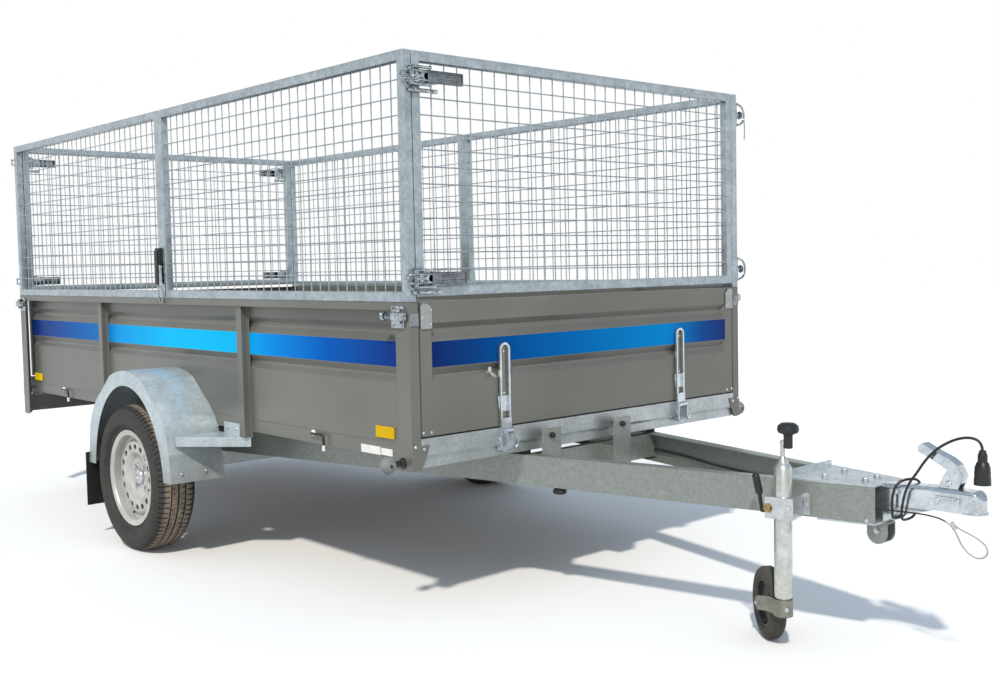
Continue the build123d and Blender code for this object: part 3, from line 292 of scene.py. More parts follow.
# Stripe: self-adhesive vinyl film in shaded blues on the flat between the two pressed grooves, cut
# at each post. Smooth and a little glossy.
def vinyl(name, way, low, high, *stops):
    """A printed film whose blues change along an axis between two places."""
    made, tree, shader, place = new_finish(name, 0.3, 0.0)
    at = add(tree, "ShaderNodeSeparateXYZ", Vector=place)
    along = add(tree, "ShaderNodeMapRange", Value=at.outputs[way], From_Min=low, From_Max=high)
    tint = add(tree, "ShaderNodeValToRGB", Fac=along.outputs["Result"], stops=stops)
    paint(tree, shader, tint.outputs["Color"])
    shader.inputs["Specular IOR Level"].default_value = 0.03
    peel = add(tree, "ShaderNodeTexNoise", Vector=place, Scale=200.0, Detail=2.0)
    roughen(tree, shader, peel.outputs["Fac"], 0.0002, 0.15)
    return made


def block(name, low, high, edge=0.0, steps=2):
    """A box between two corners, its edges rounded."""
    bpy.ops.object.select_all(action="DESELECT")
    bpy.ops.mesh.primitive_cube_add(size=1, location=[(a + b) / 2 for a, b in zip(low, high)])
    made = bpy.context.object
    made.name = name
    made.scale = [abs(b - a) for a, b in zip(low, high)]
    bpy.ops.object.transform_apply()
    if edge:
        edit(made)
        bpy.ops.mesh.bevel(offset=edge, segments=steps)
        done(made)
    return made


def span(a, b):
    """Two numbers as a low and a high one."""
    return min(a, b), max(a, b)


FILM = 0.0004
FILM_Z = (0.766, 0.841)
FILM_ENDS = (-2.13, 0.84)
POST_FOOT_WIDE = 0.064
GATE_REACH = 0.698
low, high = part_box("side_posts")
bays = ((FILM_ENDS[0], low[0]), (low[0] + POST_FOOT_WIDE, high[0] - POST_FOOT_WIDE),
        (high[0], FILM_ENDS[1]))
side_film = vinyl("printed_side_film", "X", *FILM_ENDS, (0.0, "#122468"), (0.14, "#1252a8"),
                  (0.29, "#0478c4"), (0.34, "#00a0f0"), (0.5, "#00c2ff"), (0.66, "#00bcfa"),
                  (0.74, "#0090ec"), (0.86, "#005cbe"), (1.0, "#14307c"))
for side, sign in SIDES:
    strips = []
    for x0, x1 in bays:
        y0, y1 = span(sign * WALL_Y, sign * (WALL_Y + FILM))
        strips.append(block("film", (x0, y0, FILM_Z[0]), (x1, y1, FILM_Z[1])))
    fit(joined(f"stripe_{side}", strips), side_film, "bed")
for end, x, way in ENDS:
    x0, x1 = span(x, x + way * FILM)
    strip = block("film", (x0, -GATE_REACH, FILM_Z[0]), (x1, GATE_REACH, FILM_Z[1]))
    ends = (-GATE_REACH * way, GATE_REACH * way)
    film = vinyl(f"printed_{end}_film", "Y", *ends, (0.0, "#122a6a"), (0.2, "#004e98"), (0.45, "#006cb8"),
                 (0.75, "#0086d0"), (0.9, "#124c94"), (1.0, "#1c3274"))
    strip.name = f"stripe_{end}"
    fit(strip, film, f"{end}_gate")


# Gate hinges: a long strap pressed to a channel on each gate, its knuckle on a pin in the
# folded bracket below, all zinc-plated. A wire bail for lashing hangs in each front bracket.
def wire(name, points, radius, solid=True):
    """A round wire bent along a few points, as a mesh or as the curve itself."""
    bpy.ops.object.select_all(action="DESELECT")
    bpy.ops.curve.primitive_nurbs_path_add()
    made = bpy.context.object
    made.name = name
    made.data.splines.clear()
    line = made.data.splines.new("NURBS")
    line.points.add(len(points) - 1)
    for point, at in zip(line.points, points):
        point.co = (*at, 1)
    line.order_u = 3
    line.use_endpoint_u = True
    line.resolution_u = 6
    made.data.dimensions = "3D"
    made.data.bevel_depth = radius
    made.data.bevel_resolution = 2
    made.data.use_fill_caps = True
    if solid:
        bpy.ops.object.convert(target="MESH")
        bpy.ops.object.shade_smooth_by_angle(angle=math.radians(60))
    return bpy.context.object


bright = zinc("bright_zinc_plate", "#b4bac0", "#d6dce0", 0.05, 0.2, 0.9)
dress(bright, "hinge_brackets", edge=0.0012)
STRAP_Y = 0.422


def reopened(made):
    """A finish's tree and shader, its object coordinates and the colour that it has now."""
    tree = made.node_tree
    shader = tree.nodes["Principled BSDF"]
    place = add(tree, "ShaderNodeTexCoord").outputs["Object"]
    return tree, shader, place, shader.inputs["Base Color"].links[0].from_socket


def strap_zinc_painted_shade(name, x, way):
    """Bright zinc plate with painted shade in the pressed channel, so darker there than on the strap's rims.
    """
    made = zinc(name, "#b4bac0", "#d6dce0", 0.05, 0.2, 0.9)
    tree, shader, place, plate = reopened(made)
    at = add(tree, "ShaderNodeSeparateXYZ", Vector=place)
    unshaded_rims = add(tree, "ShaderNodeMapRange", Value=at.outputs["X"], From_Min=x + way * 0.0036,
                From_Max=x + way * 0.0046)
    # Painted shade: the channel floor, close to the gate, takes a dark grey instead of the plate's colour.
    plate_with_painted_shade = add(tree, "ShaderNodeMix", {"data_type": "RGBA"}, Factor=unshaded_rims.outputs[0],
                _6=linear("#7d7b72"), _7=plate)
    paint(tree, shader, plate_with_painted_shade.outputs[2])
    return made


dress(strap_zinc_painted_shade("front_strap_plate_painted_shade", FRONT, 1), "front_gate_hinges", edge=0.0012)
dress(strap_zinc_painted_shade("rear_strap_plate_painted_shade", REAR, -1), "rear_gate_hinges", edge=0.0012)
# The bail's outline: out from the gate, along the beam and up.
BAIL = ((0.01, 0.026, 0.536), (0.018, 0.034, 0.536), (0.025, 0.038, 0.53), (0.025, 0.036, 0.512),
        (0.025, 0.024, 0.494), (0.025, 0.0, 0.489), (0.025, -0.024, 0.494), (0.025, -0.036, 0.512),
        (0.025, -0.038, 0.53), (0.018, -0.034, 0.536), (0.01, -0.026, 0.536))
bails = []
for end, x, way in ENDS:
    heads = []
    for side in (-1, 1):
        for z in (0.668, 0.795):
            at = (x + way * 0.003, side * STRAP_Y, z)
            heads.append(head("rivet", at, (way, 0, 0), 0.005, 0.004))
        for y, z in ((0.039, 0.934), (0.006, 0.914), (0.037, 0.893)):
            at = (x + way * 0.004, side * (HALF_GATE - y), z)
            heads.append(head("rivet", at, (way, 0, 0), 0.004, 0.0025))
        if way > 0:
            bails.append(wire("bail", [(x + out, side * STRAP_Y + y, z) for out, y, z in BAIL], 0.0018))
    if way > 0:
        heads.append(block("clip", (x, -0.486, 0.733), (x + 0.006, -0.474, 0.752), 0.001))
    fit(joined(f"{end}_hinge_rivets", heads), bright, f"{end}_gate")
fit(joined("lashing_bails", bails), bright, "bed")


# Gate keeps: a small riveted plate on each corner post, beside the plate on the gate that the
# sprung lock takes. Plated steel, dulled darker than the locks.
plates = []
for end, x, way in ENDS:
    x0, x1 = span(x, x + way * 0.003)
    for side in (-1, 1):
        y0, y1 = span(side * (HALF - 0.001), side * (HALF - 0.034))
        plates.append(block("plate", (x0, y0, 0.889), (x1, y1, 0.926), 0.001))
        at = (x + way * 0.003, side * (HALF - 0.018), 0.913)
        plates.append(head("rivet", at, (way, 0, 0), 0.004, 0.003))
fit(joined("post_keeps", plates), zinc("keep_plate", "#7c8285", "#999fa2", 0.02, 0.3, 0.8), "bed")


# Gate locks: a sprung bolt in a pressed housing on each corner post's side, pulled back by its
# turned knob. Bright zinc plate, with a coil spring left bare.
def turned(name, profile, centre, axis, steps=48):
    """A closed outline of (radius, along) points spun round an axis through a point."""
    centre, axis = Vector(centre), Vector(axis).normalized()
    out = axis.orthogonal().normalized()
    bpy.ops.object.select_all(action="DESELECT")
    bpy.ops.mesh.primitive_circle_add(vertices=len(profile))
    made = bpy.context.object
    made.name = name
    for vertex, (radius, along) in zip(made.data.vertices, profile):
        vertex.co = centre + out * radius + axis * along
    edit(made)
    bpy.ops.mesh.spin(steps=steps, angle=math.tau, center=centre, axis=axis)
    bpy.ops.mesh.select_all(action="SELECT")
    bpy.ops.mesh.remove_doubles(threshold=0.00002)
    bpy.ops.mesh.normals_make_consistent(inside=False)
    return done(made)


LOCK_Z = 0.918
BOLT_OUT = 0.015
COILS = 7
COIL_STEP = 0.004
COIL_LEAN = math.radians(84)
KNOB = [(0, 0), (0.011, 0), (0.013, 0.003), (0.013, 0.006), (0.01, 0.009), (0.013, 0.012), (0.011, 0.014),
        (0, 0.014)]


def lock(x, way, side):
    """One lock, drawn by its distance behind the corner and out of the post's side."""
    def part(back, out, z, edge):
        a, b = span(x - way * back[0], x - way * back[1])
        c, d = span(side * (HALF + out[0]), side * (HALF + out[1]))
        return block("part", (a, c, z[0]), (b, d, z[1]), edge)

    made = [part((0.018, 0.078), (0.0, 0.004), (0.884, 0.948), 0.001),
            part((0.002, 0.06), (0.004, 0.024), (0.905, 0.931), 0.005),
            part((0.022, 0.03), (0.004, 0.02), (0.896, 0.94), 0.002)]
    y = side * (HALF + BOLT_OUT)
    made.append(rod("bolt", (x - way * 0.055, y, LOCK_Z), (x - way * 0.1, y, LOCK_Z), 0.0045))
    for i in range(COILS):
        at = (x - way * (0.062 + COIL_STEP * i), y, LOCK_Z)
        bpy.ops.mesh.primitive_torus_add(major_segments=16, minor_segments=6, major_radius=0.0068,
                                         minor_radius=0.0013, location=at, rotation=(0, COIL_LEAN, 0))
        bpy.ops.object.transform_apply()
        made.append(done(edit(bpy.context.object)))
    made.append(turned("knob", KNOB, (x - way * 0.09, y, LOCK_Z), (-way, 0, 0), 24))
    for back, z in ((0.026, 0.89), (0.07, 0.89), (0.026, 0.942), (0.07, 0.942)):
        at = (x - way * back, side * (HALF + 0.004), z)
        made.append(head("rivet", at, (0, side, 0), 0.004, 0.003))
    return made


locks = []
for end, x, way in ENDS:
    for side in (-1, 1):
        locks += lock(x, way, side)
lock_zinc = zinc("polished_lock_plate", "#70777c", "#c3cace", 0.012, 0.14, 1.0)
fit(joined("gate_lock_set", locks), lock_zinc, "bed", "gate_locks")


# Lashing hooks: bent round bar through the sill of each end bay, black, with a pale plastic cap
# on the tip and a washer where it passes the sheet.
SILL_Z = 0.526
HOOKS_X = (FRONT - 0.565, REAR + 0.42)


def shifted(hex_colour, by, plus=0):
    """A hex colour made deeper or lighter."""
    parts = [int(hex_colour[i:i + 2], 16) for i in (1, 3, 5)]
    return "#" + "".join(f"{min(255, int(c * by + plus)):02x}" for c in parts)


def moulded(name, hex_colour, rough, grit):
    """A moulded plastic or rubber with a fine grain of a given size in metres."""
    made, tree, shader, place = new_finish(name, rough, 0.0)
    shade = add(tree, "ShaderNodeTexNoise", Vector=place, Scale=18.0, Detail=4.0)
    light = shifted(hex_colour, 1.25, 10)
    tint = add(tree, "ShaderNodeValToRGB", Fac=shade.outputs["Fac"],
               stops=((0.3, hex_colour), (0.75, light)))
    paint(tree, shader, tint.outputs["Color"])
    grain = add(tree, "ShaderNodeTexNoise", Vector=place, Scale=1 / grit, Detail=2.0)
    roughen(tree, shader, grain.outputs["Fac"], 0.0003)
    return made


black = moulded("black_nylon", "#141516", 0.42, 0.0015)
white_cap = moulded("white_polythene", "#d9dad6", 0.4, 0.002)
hooks = []
caps = []
for side in (-1, 1):
    for x in HOOKS_X:
        y = side * (WALL_Y + 0.012)
        tip = x + 0.074
        hooks.append(wire("hook", [(x, side * WALL_Y, SILL_Z), (x, y, SILL_Z), (x + 0.012, y, SILL_Z),
                                   (x + 0.06, y, SILL_Z), (x + 0.072, y, SILL_Z - 0.002),
                                   (tip, y, SILL_Z - 0.014), (tip, y, SILL_Z - 0.034)], 0.004))
        caps.append(rod("cap", (tip, y, SILL_Z - 0.032), (tip, y, SILL_Z - 0.05), 0.0052))
        caps.append(head("washer", (x, side * (WALL_Y + 0.0002), SILL_Z), (0, side, 0), 0.011, 0.007))
fit(joined("lashing_hooks", hooks), black, "bed")
fit(joined("lashing_caps", caps), white_cap, "bed")


# Blank labels: two pieces of white vinyl film, stuck on the right sill by the front corner with
# nothing on them.
paper = moulded("white_vinyl_film", "#dededb", 0.35, 0.003)
labels = [block("label", (FRONT - 0.3, -WALL_Y - 0.0006, 0.494), (FRONT - 0.2, -WALL_Y, 0.519)),
          block("label", (FRONT - 0.196, -WALL_Y - 0.0006, 0.496), (FRONT - 0.14, -WALL_Y, 0.517))]
fit(joined("blank_labels", labels), paper, "bed")


# Mesh sides: welded frames of 30 mm square tube with 4 mm wires at a 50 mm pitch welded in,
# dipped in zinc as one piece. The tubes have rounded corners, the long sides a double middle.
SHY = 0.0003
PITCH = 0.05


def mesh_side(node, along, frames):
    """One panel of the mesh, along the X or the Y axis. Its uprights are a hair slimmer than its rails."""
    low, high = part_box(node)
    tube = 0.03
    other = 1 - along
    out = low[other] if node in ("mesh_right", "mesh_rear") else high[other]
    deep = tube if node in ("mesh_right", "mesh_rear") else -tube

    def bar(a, b, z0, z1, inset=0.0):
        corner, far = [0, 0, z0], [0, 0, z1]
        corner[along], far[along] = a, b
        near, back = span(out, out + deep)
        corner[other], far[other] = near + inset, back - inset
        return block("tube", corner, far, 0.003, 3)

    pieces = [bar(low[along], high[along], low[2], low[2] + tube),
              bar(low[along], high[along], high[2] - tube, high[2])]
    reach = (high[along] - low[along]) / frames
    for i in range(frames):
        start = low[along] + i * reach
        for a in (start, start + reach - tube):
            pieces.append(bar(a + SHY, a + tube - SHY, low[2] + 0.024, high[2] - 0.024, SHY))
    radius = 0.002
    middle = out + deep / 2

    def wires(a, b, step, shift, count):
        a, b = list(a), list(b)
        a[other], b[other] = middle + shift, middle + shift
        first = rod("wires", a, b, radius, 8)
        rows = first.modifiers.new("rows", "ARRAY")
        rows.use_relative_offset = False
        rows.use_constant_offset = True
        rows.constant_offset_displace = step
        rows.count = count
        bpy.ops.object.modifier_apply(modifier="rows")
        return first

    for i in range(frames):
        start = low[along] + i * reach + tube
        inner = reach - 2 * tube
        count = round(inner / PITCH) - 1
        pitch = inner / (count + 1)
        a, b, step = [0, 0, low[2] + tube - 0.002], [0, 0, high[2] - tube + 0.002], [0, 0, 0]
        a[along] = b[along] = start + pitch
        step[along] = pitch
        pieces.append(wires(a, b, step, radius, count))
        rise = high[2] - low[2] - 2 * tube
        rows = round(rise / PITCH) - 1
        foot = low[2] + tube + rise / (rows + 1)
        a, b = [0, 0, foot], [0, 0, foot]
        a[along], b[along] = start - 0.002, start + inner + 0.002
        pieces.append(wires(a, b, [0, 0, rise / (rows + 1)], -radius, rows))
    return joined(node + "_welded", pieces)


mesh_zinc = zinc("dipped_mesh_steel", "#929ea5", "#b4bfc6", 0.04, 0.34, 0.5)
for node, along, frames in (("mesh_right", 0, 2), ("mesh_left", 0, 2), ("mesh_front", 1, 1),
                            ("mesh_rear", 1, 1)):
    fit(mesh_side(node, along, frames), mesh_zinc, "bed", node)


# Over-centre latches: pressed and zinc-plated, screwed to the end frames of the mesh, and at the
# left front corner to the side frame, where a bow sticks out. The others have a ribbed lever.
BRACKET = (
    (0.01, 0.12, 0.0, 0.004, -0.02, 0.02, 0.001),
    (0.016, 0.024, 0.004, 0.022, -0.026, 0.028, 0.002),
    (0.016, 0.092, 0.004, 0.02, 0.021, 0.028, 0.002),
    (0.016, 0.092, 0.004, 0.02, -0.028, -0.021, 0.002),
    (0.03, 0.084, 0.004, 0.012, -0.018, 0.018, 0.004),
    (0.014, 0.12, 0.0, 0.01, -0.046, -0.034, 0.003),
)
LEVER = (
    (0.076, 0.206, 0.016, 0.02, -0.017, 0.017, 0.002),
    (0.112, 0.196, 0.018, 0.023, 0.004, 0.01, 0.002),
    (0.112, 0.196, 0.018, 0.023, -0.011, -0.005, 0.002),
    (0.202, 0.206, 0.01, 0.022, -0.017, 0.017, 0.001),
    (0.076, 0.206, 0.008, 0.018, 0.015, 0.018, 0.001),
    (0.076, 0.206, 0.008, 0.018, -0.018, -0.015, 0.001),
)
HOOK = ((0.088, 0.014, 0.012), (0.02, 0.024, 0.012), (-0.006, 0.02, 0.012), (-0.009, 0.004, 0.01),
        (-0.009, 0.0, 0.0), (-0.009, 0.004, -0.01), (-0.006, 0.02, -0.012), (0.02, 0.024, -0.012),
        (0.088, 0.014, -0.012))


def latch(x, way, side, z):
    """The bracket's pieces and the lever's of one latch on an end of the mesh.

    Each row is a box: from and to along the frame, out of it and up, and the edge's radius.
    """
    def point(a, out, height):
        return x + way * out, side * (HALF - a), z + height

    def part(a0, a1, out0, out1, z0, z1, edge):
        ends = [span(a, b) for a, b in zip(point(a0, out0, z0), point(a1, out1, z1))]
        return block("part", [pair[0] for pair in ends], [pair[1] for pair in ends], edge)

    bracket = [part(*row) for row in BRACKET]
    for a, height in ((0.036, 0.008), (0.036, -0.008), (0.06, 0.009), (0.06, -0.009)):
        bracket.append(rod("stud", point(a, 0.01, height), point(a, 0.018, height), 0.006))
    for a in (0.034, 0.1):
        bracket.append(rod("screw", point(a, 0.008, -0.04), point(a, 0.014, -0.04), 0.0045))
    bracket.append(rod("pin", point(0.088, 0.014, -0.03), point(0.088, 0.014, 0.03), 0.0035, 12))
    bracket.append(wire("hook", [point(*at) for at in HOOK], 0.003))
    return bracket, [part(*row) for row in LEVER]


low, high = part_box("mesh_latches")
LATCH_Z = (low[2] + 0.021, high[2] - 0.021)
levers, pieces = [], []
BOW = [(0.002, 0.04), (0.032, 0.036), (0.05, 0.018), (0.053, 0.0), (0.05, -0.018), (0.032, -0.036),
       (0.002, -0.04)]
for x, way, side in ((FRONT, 1, -1), (REAR, -1, -1), (REAR, -1, 1)):
    for z in LATCH_Z:
        bracket, lever = latch(x, way, side, z)
        pieces += bracket
        levers += lever
x_bow = FRONT - 0.005
for z in LATCH_Z:
    pieces.append(wire("bow", [(x_bow, HALF + out, z + up) for out, up in BOW], 0.004))
    pieces.append(head("boss", (x_bow - 0.009, HALF + 0.002, z), (0, 1, 0), 0.013, 0.034, 20))
    pieces.append(block("plate", (FRONT - 0.06, HALF, z - 0.045), (FRONT - 0.001, HALF + 0.004, z + 0.045),
                        0.001))
z = LATCH_Z[1]
pieces.append(wire("handle", [(x_bow, HALF + 0.052, z - 0.01), (x_bow, HALF + 0.06, z - 0.05),
                              (x_bow, HALF + 0.054, z - 0.09)], 0.0022))
dark_plate = zinc("weathered_latch_plate", "#62676b", "#878c91", 0.03, 0.22, 0.9)
chrome = zinc("polished_zinc_pressing", "#70777c", "#c3cace", 0.012, 0.14, 1.0)
fit(joined("mesh_latch_set", pieces), chrome, "bed", "mesh_latches")
fit(joined("latch_levers", levers), dark_plate, "bed")


# Mesh fasteners: a black plastic lever on the middle tubes of each long side pulls a bright wire
# loop down over the wall's rim.
LOOP = ((-0.01, 0.012, 1.075), (-0.012, 0.012, 1.02), (-0.016, 0.012, 0.965), (-0.012, 0.008, 0.944),
        (0.01, 0.008, 0.938), (0.022, 0.012, 0.955), (0.02, 0.012, 1.01), (0.012, 0.012, 1.075))
mid_x = (FRONT + REAR) / 2


def mid_box(side, x0, x1, out0, out1, z0, z1, edge):
    """A box on the middle of a long side, by its reach along the side, out of it and up."""
    y0, y1 = span(side * (HALF + out0), side * (HALF + out1))
    return block("part", (mid_x + x0, y0, z0), (mid_x + x1, y1, z1), edge)


loops, grips = [], []
for side in (-1, 1):
    grips += [mid_box(side, -0.026, 0.01, 0.0, 0.018, 1.085, 1.15, 0.004),
              mid_box(side, -0.02, 0.006, 0.016, 0.024, 1.01, 1.14, 0.003)]
    loops.append(mid_box(side, -0.022, 0.022, 0.0, 0.004, 0.962, 1.09, 0.001))
    loops.append(wire("loop", [(mid_x + along, side * (HALF + out), z) for along, out, z in LOOP], 0.0028))
fit(joined("mesh_fastener_grips", grips), black, "bed")
fit(joined("mesh_fastener_loops", loops), chrome, "bed")


# Mudguards and steps: pressed from bright pre-galvanised sheet, the step riveted to the sill, the
# rubber flap bolted on behind. The lower parts are greyed in blotches, more so towards the bottom.
guard_zinc = zinc("pre_galvanised_sheet", "#abb7be", "#c8d4da", 0.07, 0.3, 0.3)
tree, shader, place, plain_plate = reopened(guard_zinc)
# Below 0.52 m the colour is mixed towards a darker grey in noise blotches, more strongly down to 0.3 m.
apart = add(tree, "ShaderNodeSeparateXYZ", Vector=place)
fall = add(tree, "ShaderNodeMapRange", Value=apart.outputs["Z"], From_Min=0.3, From_Max=0.52, To_Min=1.0,
           To_Max=0.0)
blotch = add(tree, "ShaderNodeTexNoise", Vector=place, Scale=9.0, Detail=5.0)
lower_greying = add(tree, "ShaderNodeMath", {"operation": "MULTIPLY"}, _0=fall.outputs["Result"],
            _1=blotch.outputs["Fac"])
grey = add(tree, "ShaderNodeMix", {"data_type": "RGBA"}, Factor=lower_greying.outputs[0], _6=plain_plate,
           _7=linear("#77766e"))
paint(tree, shader, grey.outputs[2])
dress(guard_zinc, "mudguard_right", "mudguard_left", edge=0.0015)
dress(guard_zinc, "step_brackets", edge=0.001)
dress(moulded("flap_rubber", "#0e0f0f", 0.6, 0.004), "mudflaps", edge=0.001)
low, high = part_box("mudguard_right")
GUARD_FRONT, GUARD_REAR = high[0], low[0]
PLATE_RIVETS = ((0.914, 0.34), (0.82, 0.34))
bolts = []
for side in (-1, 1):
    for y in (0.8, 0.92):
        bolts.append(bolt("bolt", (GUARD_REAR - 0.0063, side * y, 0.326), (-1, 0, 0), 0.013, 0.006))
    for x in (GUARD_FRONT + 0.045, GUARD_FRONT + 0.105):
        bolts.append(head("rivet", (x, side * (HALF - 0.032), 0.492), (0, side, 0), 0.006, 0.004))
    for y, z in PLATE_RIVETS:
        at = (GUARD_FRONT + 0.0003, side * y, z)
        bolts.append(head("rivet", at, (1, 0, 0), 0.006, 0.004))
fit(joined("guard_bolts", bolts), plated, "bed")


# Road tyres: radial, three grooves round the tread, sipes across its shoulders and ribs. Black
# rubber, browned by dry road dust where it has run.
tyre_rubber, tree, shader, place = new_finish("tyre_rubber", 0.7, 0.0)
wheel_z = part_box("tyre_right")[1][2] / 2
wheel_x = (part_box("tyre_right")[0][0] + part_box("tyre_right")[1][0]) / 2
axle = add(tree, "ShaderNodeVectorMath", {"operation": "SUBTRACT"}, _0=place, _1=(wheel_x, 0, wheel_z))
flat = add(tree, "ShaderNodeVectorMath", {"operation": "MULTIPLY"}, _0=axle.outputs[0], _1=(1, 0, 1))
far = add(tree, "ShaderNodeVectorMath", {"operation": "LENGTH"}, _0=flat.outputs[0])
dust = add(tree, "ShaderNodeTexNoise", Vector=place, Scale=60.0, Detail=6.0)
worn = add(tree, "ShaderNodeMapRange", Value=far.outputs["Value"], From_Min=0.2735, From_Max=0.2765)
worn = add(tree, "ShaderNodeMath", {"operation": "MULTIPLY"}, _0=worn.outputs[0], _1=dust.outputs["Fac"])
black_side = add(tree, "ShaderNodeValToRGB", Fac=dust.outputs["Fac"],
                 stops=((0.35, "#292927"), (0.7, "#393835"))).outputs["Color"]
brown = add(tree, "ShaderNodeValToRGB", Fac=worn.outputs[0],
            stops=((0.1, "#524c45"), (0.6, "#9a8e80"))).outputs["Color"]
near = add(tree, "ShaderNodeMath", {"operation": "GREATER_THAN"}, _0=worn.outputs[0], _1=0.01)
mixed = add(tree, "ShaderNodeMix", {"data_type": "RGBA"}, Factor=near.outputs[0], _6=black_side, _7=brown)
paint(tree, shader, mixed.outputs[2])
grain = add(tree, "ShaderNodeTexNoise", Vector=place, Scale=500.0, Detail=2.0)
roughen(tree, shader, grain.outputs["Fac"], 0.0003)
half_tyre = [(0.1653, 0.05), (0.184, 0.055), (0.188, 0.061), (0.196, 0.064), (0.203, 0.0735),
             (0.207, 0.0745), (0.208, 0.0762), (0.227, 0.079), (0.243, 0.0772), (0.244, 0.0762),
             (0.254, 0.0738), (0.2615, 0.071), (0.268, 0.0655), (0.273, 0.0592), (0.2756, 0.05),
             (0.2765, 0.04), (0.2769, 0.034), (0.277, 0.0305), (0.2703, 0.0296), (0.2703, 0.025),
             (0.2772, 0.0242), (0.2774, 0.014), (0.2775, 0.0034), (0.2706, 0.0024)]
SIPES = 83
sipe_step = math.tau / (4 * SIPES)


def cut(face, middle, share, near, far):
    """Whether a face is in one of the sipes between two distances from the tyre's middle."""
    at = face.center
    turn = int(math.atan2(at.z - wheel_z, at.x - wheel_x) // sipe_step)
    radius = math.hypot(at.z - wheel_z, at.x - wheel_x)
    return radius > 0.262 and turn % 4 == share and near < abs(at.y - middle) < far


for side, sign in SIDES:
    low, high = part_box(f"tyre_{side}")
    middle = (low[1] + high[1]) / 2
    made = turned("tyre", half_tyre + [(r, -y) for r, y in reversed(half_tyre)], (wheel_x, middle, wheel_z),
                  (0, 1, 0), 4 * SIPES)
    edit(made, lambda face: cut(face, middle, 0, 0.035, 0.069))
    bpy.ops.mesh.inset(thickness=0.0003, depth=-0.004)
    done(made)
    edit(made, lambda face: cut(face, middle, 2, 0.015, 0.0235))
    bpy.ops.mesh.inset(thickness=0.0003, depth=-0.003)
    done(made, 30)
    fit(made, tyre_rubber, f"wheel_{side}", f"tyre_{side}")


# Wheels: rolled steel rims in silver lacquer, each with a pressed disc of sixteen slots welded in.
# The hub and the wheel bolts are zinc-plated, and the rubber valve sits in the well.
silver, tree, shader, place = new_finish("silver_wheel_lacquer", 0.36, 0.35)
fleck = add(tree, "ShaderNodeTexNoise", Vector=place, Scale=700.0, Detail=2.0)
cloud = add(tree, "ShaderNodeTexNoise", Vector=place, Scale=14.0, Detail=3.0)
tone = add(tree, "ShaderNodeMath", {"operation": "MULTIPLY"}, _0=fleck.outputs["Fac"],
           _1=cloud.outputs["Fac"])
tint = add(tree, "ShaderNodeValToRGB", Fac=tone.outputs[0],
           stops=((0.15, "#b4b4b0"), (0.4, "#d3d3cf")))
paint(tree, shader, tint.outputs["Color"])
roughen(tree, shader, fleck.outputs["Fac"], 0.0001)
half_barrel = [(0.1825, 0.061), (0.1835, 0.059), (0.179, 0.057), (0.167, 0.057), (0.165, 0.052),
               (0.165, 0.024), (0.151, 0.014)]
inner_barrel = [(0.147, 0.014), (0.1475, 0.023), (0.161, 0.027), (0.161, 0.0545), (0.164, 0.059),
                (0.176, 0.06), (0.179, 0.0612)]
back_barrel = [(0.151, -0.022), (0.165, -0.03), (0.165, -0.052), (0.167, -0.057), (0.1825, -0.057),
               (0.1825, -0.061), (0.164, -0.061), (0.161, -0.056), (0.161, -0.032), (0.147, -0.024)]
disc = [(0.03, 0.018), (0.03, 0.014), (0.072, 0.014), (0.08, 0.017), (0.093, 0.031),
        (0.101, 0.035), (0.13, 0.034), (0.138, 0.031), (0.145, 0.021), (0.1475, -0.018),
        (0.1495, -0.018), (0.1485, 0.023), (0.141, 0.034), (0.132, 0.0382), (0.1, 0.0392),
        (0.09, 0.035), (0.078, 0.0205), (0.07, 0.018)]
SLOTS, SLOT_OUT, SLOT_R, SLOT_LONG = 16, 0.1165, 0.0105, 1.28
for side, sign in SIDES:
    low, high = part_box(f"rim_{side}")
    centre = Vector((wheel_x, (low[1] + high[1]) / 2, wheel_z))
    barrel = turned("barrel", half_barrel + back_barrel + inner_barrel, centre, (0, sign, 0), 96)
    plate = turned("disc", disc, centre, (0, sign, 0), 96)
    cutters = []
    for i in range(SLOTS):
        turn = math.tau * i / SLOTS
        at = centre + Vector((SLOT_OUT * math.cos(turn), sign * 0.04, SLOT_OUT * math.sin(turn)))
        bpy.ops.mesh.primitive_cylinder_add(vertices=24, radius=SLOT_R, depth=0.06, location=at)
        slot = bpy.context.object
        slot.scale = (SLOT_LONG, 1, 1)
        slot.rotation_euler = Vector((0, 1, 0)).to_track_quat("Z", "X").to_euler()
        bpy.ops.object.transform_apply(location=False)
        slot.rotation_euler = (0, -turn, 0)
        bpy.ops.object.transform_apply()
        cutters.append(slot)
    cutter = joined("cutter", cutters)
    holes = plate.modifiers.new("holes", "BOOLEAN")
    holes.operation = "DIFFERENCE"
    holes.object = cutter
    pick(plate)
    bpy.ops.object.modifier_apply(modifier="holes")
    bpy.data.objects.remove(cutter)
    fit(done(joined(f"wheel_rim_{side}", [barrel, plate]), 32), silver, f"wheel_{side}", f"rim_{side}")
    low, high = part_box(f"hub_{side}")
    back = low[1] if side == "left" else high[1]
    deep = abs(centre.y - back)
    hub = turned("hub", [(0, -deep), (0.04, -deep), (0.04, -0.004), (0.064, 0.004), (0.066, 0.006),
                         (0.066, 0.0138), (0.0295, 0.0138), (0.029, 0.026), (0.027, 0.029),
                         (0.012, 0.03), (0.011, 0.028), (0, 0.028)], centre, (0, sign, 0))
    studs = [hub]
    for i in range(4):
        turn = math.radians(45 + 90 * i)
        out = Vector((math.cos(turn), 0, math.sin(turn))) * 0.05
        at = centre + out + Vector((0, sign * 0.018, 0))
        studs.append(bolt("wheel_bolt", at, (0, sign, 0), 0.017, 0.011))
    fit(joined(f"wheel_hub_{side}", studs), plated, f"wheel_{side}", f"hub_{side}")
low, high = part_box("rim_right")
RIM_Y = (low[1] + high[1]) / 2
